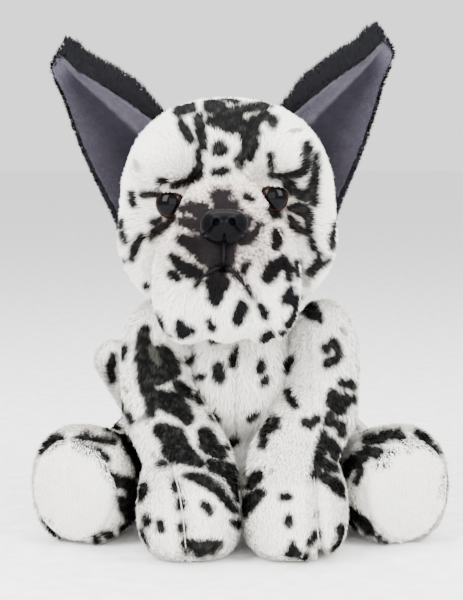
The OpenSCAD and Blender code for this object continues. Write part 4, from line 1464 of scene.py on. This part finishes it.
@dataclass
class Ear:
    """A pointed ear: a shaggy black outer layer and a smooth lining that folds along its upper edge."""

    shop: Workshop
    side: Side
    low: tuple[float, float]
    high: tuple[float, float]
    tip: tuple[float, float]
    depth_y: float = 7.0
    cup: float = 9.0
    fold: float = 0.74
    band: float = 60.0

    def surface(self, u: Array, v: Array, back: float) -> Array:
        """Points of the ear.

        Args:
            u: From the lower edge, 0, to the upper edge, 1.
            v: From the head, 0, to the tip, 1.
            back: How far behind the lining, in mm.

        Returns:
            One point a row.
        """
        low, high, tip = (np.array(p) for p in (self.low, self.high, self.tip))
        bow = np.sin(np.pi * np.clip(v, 0, 1)) ** 0.9
        out_low = np.array([0.9 * self.side.value, -0.45])
        out_high = np.array([0.35 * self.side.value, 0.95])
        a = low + (tip - low) * v[:, None] + out_low * (3.0 * bow)[:, None]
        b = high + (tip - high) * v[:, None] + out_high * (3.2 * bow)[:, None]
        beyond = np.maximum(u - 1.0, 0.0) * self.band * (0.2 + 0.8 * smoothstep(-0.12, 0.3, v))
        across = a + (b - a) * np.minimum(u, 1.0)[:, None] + unit(b - a) * beyond[:, None]
        round_tip = 4.2 * smoothstep(0.72, 1.0, v)
        width = np.linalg.norm(b - a, axis=1)
        across = across + unit(b - a) * ((u - 0.5) * 2 * round_tip)[:, None]
        hollow = np.where(u < self.fold, np.sin(0.5 * np.pi * u / self.fold),
                          np.cos(0.5 * np.pi * np.clip((u - self.fold) / (1 - self.fold), 0, 1)) ** 1.3)
        y = self.depth_y - 3.0 + self.cup * hollow * np.clip(width / 50.0, 0.12, 1.0) - 4.0 * v + back
        return np.stack([across[:, 0], y, across[:, 1]], 1)

    def sheet(self, u0: float, u1: float, v1: float, back: float, thick: float) -> Skin:
        """A closed layer of the ear with some thickness."""
        nu, nv = 44, 56
        u, v = np.meshgrid(np.linspace(u0, u1, nu), np.linspace(-0.16, v1, nv))
        front_face = self.surface(u.ravel(), v.ravel(), back)
        back_face = self.surface(u.ravel(), v.ravel(), back + thick)
        points = np.concatenate([front_face, back_face])
        quad = grid_faces(nu, nv)
        n = nu * nv
        rim = np.concatenate([np.arange(nu), np.arange(1, nv) * nu + nu - 1,
                              (nv - 1) * nu + np.arange(nu - 2, -1, -1), np.arange(nv - 2, 0, -1) * nu])
        nxt = np.roll(rim, -1)
        faces = [quad, quad[:, ::-1] + n, np.stack([nxt, rim, rim + n, nxt + n], 1)]
        made = Skin(points, [np.zeros((0, 3), int), np.concatenate(faces)])
        made.settle()
        return made

    def build(self) -> None:
        """Makes both layers and their pile."""
        word = self.side.word
        body = f"ear_{word}"
        seed = 400 + 10 * self.side.value
        shop = self.shop
        plain_black = Coat([], plain=(0.012, 0.012, 0.014))
        outer = self.sheet(-0.02, 1.13, 1.0, 2.2, 2.4)
        shop.sew(f"ear_{word}_outer_plush", outer, plain_black, body, (f"ear_{word}_outer",), 0.2,
                 "plush_black")
        tip = np.array([self.tip[0], 4.0, self.tip[1]])
        root = np.array([(self.low[0] + self.high[0]) / 2, 10.0, (self.low[1] + self.high[1]) / 2])
        axis = unit(tip - root)

        def flow(p: Array, n: Array) -> Array:
            """Out towards the tip and off the edges."""
            rel = p - root
            off = rel - (rel @ axis)[:, None] * axis
            return axis * 0.7 + 0.8 * unit(off)

        def keep(p: Array, n: Array) -> Array:
            """Long on the back and the upper edge, short on the lower edge, none under the lining."""
            u, v = self.place(p)
            share = 0.6 + 0.4 * smoothstep(0.3, 0.7, u)
            return np.where((n[:, 1] < 0.1) & (u > 0.02) & (u < 0.985) & (v < 0.97), 0.0, share)

        shaggy = Pile(7.0, 48, 0.6, 4.2, 34000, 0.55, 0.35)
        made = shaggy.grow(f"ear_{word}_outer_pile", outer, plain_black, flow, seed, keep)
        shop.hand_over(made, body, "plush_black", "long_pile")
        inner = self.sheet(0.015, 0.955, 0.985, 0.0, 1.6)
        # The lining's colours carry painted light and painted shade.
        lining = Coat([], dye=self.lining_grey_and_painted_light)
        shop.sew(f"ear_{word}_lining", inner, lining, body, (f"ear_{word}_inner",), 0.1, "minky_grey")

        def nap(p: Array, n: Array) -> Array:
            """The lining's nap lies out to the tip."""
            return np.tile(axis, (len(p), 1))

        def short(p: Array, n: Array) -> Array:
            """Only in front."""
            return np.where(n[:, 1] < 0.1, 1.0, 0.0)

        smooth = Pile(1.9, 30, 0.42, 6.0, 34000, 0.8, 0.2)
        made = smooth.grow(f"ear_{word}_lining_nap", inner, lining, nap, seed + 5, short)
        shop.hand_over(made, body, "minky_grey", "minky_pile")

    def place(self, p: Array) -> tuple[Array, Array]:
        """How far across, from the lower edge, and how far along, from the head, each point is."""
        low, high, tip = (np.array(q) for q in (self.low, self.high, self.tip))
        flat = p[:, [0, 2]]
        root = (low + high) / 2
        v = np.clip(((flat - root) @ (tip - root)) / np.sum((tip - root) ** 2), 0, 1)
        for _ in range(4):
            grid = np.concatenate([self.surface(np.full(len(p), u), v, 0.0)[:, [0, 2]] for u in (0.0, 1.0)])
            a, b = grid[:len(p)], grid[len(p):]
            side = b - a
            u = ((flat - a) * side).sum(1) / np.maximum((side ** 2).sum(1), 1.0)
            ahead = tip - (a + side * np.clip(u, 0, 1)[:, None])
            off = flat - (a + side * u[:, None])
            v = np.clip(v + (off * ahead).sum(1) / np.maximum((ahead ** 2).sum(1), 9.0) * (1 - v), 0, 1)
        return u, v

    def lining_grey_and_painted_light(self, p: Array, n: Array) -> Array:
        """Painted light along the folded flap and the tip, painted shade in the hollow just below the fold,
        lighter again to the lower edge.
        """
        u, v = self.place(p)
        # The flap and the tip get painted light, and the hollow below the fold gets painted shade.
        flap = smoothstep(self.fold - 0.03, self.fold + 0.05, u + 0.012 * noise(p, 3.0, 5))[:, None]
        cup = smoothstep(0.0, 0.62, u + 0.1 * (1 - v))[:, None] * smoothstep(0.98, 0.7, v)[:, None]
        out = LINING_MID * (1 - cup) + LINING_PAINTED_SHADE * cup
        out = out * (1 - flap) + LINING_PAINTED_LIT * flap
        ends = smoothstep(0.8, 0.98, v)[:, None]
        out = out * (1 - ends) + LINING_PAINTED_LIT * 0.95 * ends
        return out * (1 + 0.1 * noise(p, 2.2, 6) + 0.06 * noise(p, 0.9, 7))[:, None]


@dataclass
class Foreleg:
    """A straight foreleg with a big round paw."""

    shop: Workshop
    side: Side
    shoulder: Egg = Egg((47, -8, 100.5), (19, 26, 29))
    elbow: Egg = Egg((45, -25, 74), (19.5, 24, 24))
    wrist: Egg = Egg((28, -55, 49), (22, 20.5, 20.5))
    paw: Egg = Egg((29.5, -66, 25), (27, 36, 26.5), power=2.7)
    toe_seams: tuple = (((-39, 36), (-35, 22.6), (-32.7, 7), (-31, -12.5)),
                        ((42.5, 30), (43, 20), (44.5, 0), (46, -13)))
    toe_dent: float = 4.5
    inward: float = 2.2
    swell: float = 2.0

    def toe_line(self) -> tuple:
        """The seam between the toes, on the coat plane."""
        return self.toe_seams[1 if self.side is Side.LEFT else 0]

    def build(self) -> Skin:
        """Sculpts the skin and lets its filling swell it."""
        eggs = [self.shoulder, self.elbow, self.wrist, self.paw]
        if self.side is Side.RIGHT:
            eggs = [egg.flipped() for egg in eggs]
            x, y, z = eggs[3].centre
            eggs[3] = Egg((x + self.inward, y, z), eggs[3].radii, eggs[3].yaw, eggs[3].power)
        xs = sorted([-2.0 * self.side.value, 70.0 * self.side.value])
        sculpt = Sculpt((xs[0], -106, -4), (xs[1], 20, 136), 1.5)
        p = sculpt.grid
        d = blurred(union(p, sweep(eggs[:3], 8) + sweep(eggs[2:], 8)), 2)
        line = self.toe_line()
        d = d + (crease(p, line, 1.6, 2.2) + crease(p, line, 4.2, self.toe_dent)) * (p[..., 1] < -62)
        split = self.side.value * 37.5
        d = d + 1.1 * np.exp(-((p[..., 0] - split) / 1.3) ** 2) * smoothstep(40, 56, p[..., 2])
        return self.shop.stuff(sculpt.skin(d, floor=SKIN_CLEAR), self.swell)

    def dress(self, skin: Skin) -> None:
        """Sews the fabric and grows its pile."""
        word = self.side.word
        body = "foreleg_" + word
        left = self.side is Side.LEFT
        black, grey = (ARM_LEFT, ARM_LEFT_GREY) if left else (ARM_RIGHT, ARM_RIGHT_GREY)
        coat = Coat(black + BODY, grey, 41 + left, 30, skin.box(), seams=(self.toe_line(),))
        self.shop.sew(body + "_plush", skin, coat, body,
                      (body + "_outer", body + "_inner", body + "_stuffing"), 0.85)

        def flow(p: Array, n: Array) -> Array:
            """Down the leg and forward over the paw."""
            way = np.tile([0.0, -0.25, -1.0], (len(p), 1))
            paw = smoothstep(52, 40, p[:, 2])[:, None]
            return way * (1 - paw) + (np.array([0.0, -0.8, -0.75]) + 0.25 * n) * paw

        def keep(p: Array, n: Array) -> Array:
            """Full length, short on the toes, none underneath."""
            share = 1.0 - 0.3 * smoothstep(-60, -90, p[:, 1]) * (p[:, 2] < 45)
            near = stroke_gap(front(p), hairlines([self.toe_line()]))
            share = share * (1.0 - 0.6 * smoothstep(3.5, 0.8, near) * (p[:, 1] < -60))
            return off_the_floor(p, n, share)

        pile = Pile(4.8, 33, per_mm2=3.4, most=60000)
        made = pile.grow(body + "_pile", skin, coat, flow, 500 + self.side.value, keep)
        self.shop.hand_over(made, body, "plush_harlequin", "long_pile")
        path = on_surface(skin, self.toe_line(), -0.7)
        path = path[path[:, 2] > 2.0]
        made = tube(body + "_toe_thread", path, 0.4, 8, 0.15)
        self.shop.hand_over(made, body, "thread_white", "white_thread", (body + "_toe_stitch",))


@dataclass
class HindLeg:
    """A thigh and a foot that points forward, with a flat white sole."""

    shop: Workshop
    side: Side
    hip: Egg = Egg((52, 33, 32), (26, 26, 32))
    shank: Egg = Egg((69, -1, 28), (19.5, 23.5, 26))
    foot: Egg = Egg((86, -36, 31.5), (27, 20, 32), power=2.5)
    splay: float = 22.0
    sole_front: float = 17.0
    sole_r: tuple[float, float] = (24.5, 28.0)
    swell: float = 2.0

    def local(self, p: Array) -> Array:
        """Points seen from the foot's middle, with -Y out through the sole."""
        x, y, z = self.foot.centre
        q = p - np.array([self.side.value * x, y, z])
        a = math.radians(self.side.value * self.splay)
        return np.stack([math.cos(a) * q[..., 0] + math.sin(a) * q[..., 1],
                         math.cos(a) * q[..., 1] - math.sin(a) * q[..., 0], q[..., 2]], -1)

    def build(self) -> Skin:
        """Sculpts the skin and lets its filling swell it."""
        foot = Egg(self.foot.centre, self.foot.radii, self.splay, self.foot.power)
        eggs = [self.hip, self.shank, foot]
        if self.side is Side.RIGHT:
            eggs = [egg.flipped() for egg in eggs]
        xs = sorted([24.0 * self.side.value, 120.0 * self.side.value])
        sculpt = Sculpt((xs[0], -66, -4), (xs[1], 64, 72), 1.5)
        p = sculpt.grid
        d = blurred(union(p, sweep(eggs, 8)), 2)
        q = self.local(p)
        drum = np.maximum(np.hypot(q[..., 0], q[..., 2] * 0.87) - 25.0, np.abs(q[..., 1] + 9.5) - 8.0)
        d = join(d, drum, 6.0)
        d = -join(-d, q[..., 1] + self.sole_front, 2.5)
        ring = np.hypot(q[..., 0] / self.sole_r[0], q[..., 2] / self.sole_r[1])
        d = d + 1.8 * np.exp(-((ring - 1.0) * 24.0 / 1.3) ** 2) * (q[..., 1] < -8)
        d = d - 3.0 * smoothstep(1.05, 0.3, ring) * (q[..., 1] < -8)
        return self.shop.stuff(sculpt.skin(d, floor=SKIN_CLEAR), self.swell)

    def dress(self, skin: Skin) -> None:
        """Sews the fabric and grows the long pile and the sole's short one."""
        word = self.side.word
        body = "hindleg_" + word
        left = self.side is Side.LEFT
        black, grey = (FOOT_LEFT, FOOT_LEFT_GREY) if left else (FOOT_RIGHT, [])
        coat = Coat(black, grey, 61 + left, 30, skin.box())
        self.shop.sew(body + "_plush", skin, coat, body,
                      (body + "_outer", body + "_inner", body + "_sole", body + "_stuffing"), 0.85)

        def ring(p: Array) -> Array:
            """1 on the sole's seam, less inside it."""
            q = self.local(p)
            return np.where(q[:, 1] < -11, np.hypot(q[:, 0] / self.sole_r[0], q[:, 2] / self.sole_r[1]), 9.0)

        def flow(p: Array, n: Array) -> Array:
            """Forward along the leg to the sole's edge."""
            a = math.radians(self.side.value * self.splay)
            out = np.array([math.sin(a), -math.cos(a), -0.45])
            return out + 0.3 * n

        def keep(p: Array, n: Array) -> Array:
            """Off the sole and off the underside."""
            share = np.where(ring(p) < 1.02, 0.0, 1.0)
            return off_the_floor(p, n, share)

        pile = Pile(5.0, 34, per_mm2=3.6, most=52000)
        made = pile.grow(body + "_pile", skin, coat, flow, 600 + self.side.value, keep)
        self.shop.hand_over(made, body, "plush_harlequin", "long_pile")

        def sole_flow(p: Array, n: Array) -> Array:
            """The sole's nap lies down."""
            return np.tile([0.2, 0.0, -1.0], (len(p), 1))

        def sole_keep(p: Array, n: Array) -> Array:
            """Only on the sole."""
            return np.where(ring(p) < 1.0, 1.0, 0.0)

        plain = Coat([], plain=tuple(WHITE))
        nap = Pile(2.2, 34, 0.45, 9.0, 60000, 0.4, 0.3)
        made = nap.grow(body + "_sole_pile", skin, plain, sole_flow, 610 + self.side.value, sole_keep)
        self.shop.hand_over(made, body, "plush_white", "short_pile")


@dataclass
class Tail:
    """A short tail that curls round the dog's right side."""

    shop: Workshop
    line: tuple = ((-6, 77, 32), (-38, 86, 44), (-63, 80, 62), (-75, 63, 86))
    radius: float = 10.4
    swell: float = 1.5

    def build(self) -> Skin:
        """Sculpts the skin and lets its filling swell it."""
        sculpt = Sculpt((-92, 44, 16), (10, 104, 102), 1.5)
        eggs = [Egg(p, (self.radius,) * 3) for p in self.line]
        d = blurred(union(sculpt.grid, sweep(eggs, 8)), 3)
        return self.shop.stuff(sculpt.skin(d), self.swell)

    def dress(self, skin: Skin) -> None:
        """Sews the fabric and grows its pile."""
        coat = Coat(TAIL, [], 71, 12, skin.box())
        self.shop.sew("tail_plush", skin, coat, "tail", ("tail_cover", "tail_stuffing"), 0.85)
        tip = np.array(self.line[-1], float)

        def flow(p: Array, n: Array) -> Array:
            """Towards the tip."""
            return unit(tip + np.array([-4.0, -10.0, 20.0]) - p)

        made = Pile(5.8, 40, per_mm2=4.2, most=30000).grow("tail_pile", skin, coat, flow, 701)
        self.shop.hand_over(made, "tail", "plush_harlequin", "long_pile")


# ---------------------------------------------------------------- studio


@dataclass(frozen=True)
class Studio:
    """Camera, soft lights and a plain pale floor."""

    lens: float = 111.7
    pitch: float = 5.9
    sky: float = 1.6
    floor_half: float = 6000.0
    floor_cells: int = 24

    def set_up(self, wardrobe: Wardrobe) -> None:
        """Puts everything in place."""
        data = bpy.data.cameras.new("camera")
        data.lens = self.lens
        data.sensor_width = 36.0
        data.clip_end = 20.0
        camera = bpy.data.objects.new("camera", data)
        camera.location = Vector(EYE_POINT * MM)
        camera.rotation_euler = (math.radians(90 - self.pitch), 0, 0)
        bpy.context.collection.objects.link(camera)
        bpy.context.scene.camera = camera
        for name, at, size, power in (
            ("key_left", (-0.75, -0.75, 0.75), (0.55, 0.8), 33.5),
            ("key_right", (0.8, -0.7, 0.7), (0.5, 0.8), 26.5),
            ("top", (0.0, 0.1, 1.2), (1.1, 1.1), 27.0),
            ("fill", (0.0, -1.35, 0.45), (1.0, 0.8), 15.0),
        ):
            self.light(name, at, size, power)
        world = bpy.data.worlds.new("studio")
        world.use_nodes = True
        background = world.node_tree.nodes["Background"]
        background.inputs["Color"].default_value = (1.0, 1.0, 1.0, 1.0)
        background.inputs["Strength"].default_value = self.sky
        bpy.context.scene.world = world
        corners = self.floor_cells + 1
        xs = np.linspace(-self.floor_half, self.floor_half, corners)
        gx, gy = np.meshgrid(xs, xs)
        points = np.stack([gx.ravel(), gy.ravel(), np.full(gx.size, -0.2)], 1)
        floor = mesh_object("floor", points, [grid_faces(corners, corners)])
        wardrobe.wear(floor, "studio_floor")

    @staticmethod
    def light(name: str, at: tuple, size: tuple, power: float) -> None:
        """A soft rectangular light aimed at the toy's middle."""
        data = bpy.data.lights.new(name, "AREA")
        data.shape = "RECTANGLE"
        data.size, data.size_y = size
        data.energy = power
        lamp = bpy.data.objects.new(name, data)
        lamp.location = at
        lamp.rotation_euler = (Vector((0, -0.02, 0.14)) - Vector(at)).to_track_quat("-Z", "Y").to_euler()
        bpy.context.collection.objects.link(lamp)


INNER_FINISHES: dict[str, str] = {
    "stuffing": "filling", "pouch": "pouch_cotton", "pellets": "pellet_plastic", "washer": "washer_plastic",
    "neck_stitch": "white_thread", "stitch": "white_thread",
}


def dress_inner_nodes(wardrobe: Wardrobe) -> None:
    """Gives the frame's own hidden pieces their finishes."""
    for name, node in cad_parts.items():
        for word, finish in INNER_FINISHES.items():
            if word in name:
                for slot in node.material_slots:
                    slot.material = wardrobe.made[finish]
                break


EYE_BACK = Vector((0, 4.4, 0))
RIGHT_EYE_SHIFT = Vector((-0.8, 0, 1.2))
NOSE_SHIFT = Vector((-1.1, 7.4, 3.4))
EAR_CORNERS: dict[Side, tuple] = {
    Side.LEFT: ((55.5, 188.0), (28.0, 237.5), (84.0, 275.0)),
    Side.RIGHT: ((-71.0, 182.0), (-47.0, 233.0), (-104.0, 266.5)),
}


def middle_of(node: str) -> Vector:
    """The middle of a node's box, in mm."""
    lo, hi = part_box(node)
    return (lo + hi) * 0.5 / MM


def main() -> None:
    """Builds every part in order."""
    logging.basicConfig(level=logging.INFO, format="%(message)s")
    wardrobe = Wardrobe()
    shop = Workshop(wardrobe)
    Studio().set_up(wardrobe)
    torso = Torso(shop)
    torso.dress(torso.build())
    eyes = {side: middle_of(f"eye_{side.word}_lens") + EYE_BACK for side in Side}
    eyes[Side.RIGHT] += RIGHT_EYE_SHIFT
    nose_low, nose_high = (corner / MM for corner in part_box("nose"))
    front_of_nose = Vector(((nose_low.x + nose_high.x) / 2, nose_low.y, (nose_low.z + nose_high.z) / 2))
    nose_centre = front_of_nose + NOSE_SHIFT
    muzzle = Muzzle(shop, nose_centre)
    head = Head(shop, eyes, muzzle)
    head.dress(head.build())
    muzzle_skin = muzzle.build()
    muzzle.dress(muzzle_skin)
    for side, at in eyes.items():
        Eye(shop, side, at).build()
    Nose(shop, nose_centre).build()
    Mouth(shop).build(muzzle_skin)
    for side, corners in EAR_CORNERS.items():
        Ear(shop, side, *corners).build()
    for side in Side:
        foreleg = Foreleg(shop, side)
        foreleg.dress(foreleg.build())
        hind = HindLeg(shop, side)
        hind.dress(hind.build())
    tail = Tail(shop)
    tail.dress(tail.build())
    dress_inner_nodes(wardrobe)


if __name__ == "__main__":
    main()
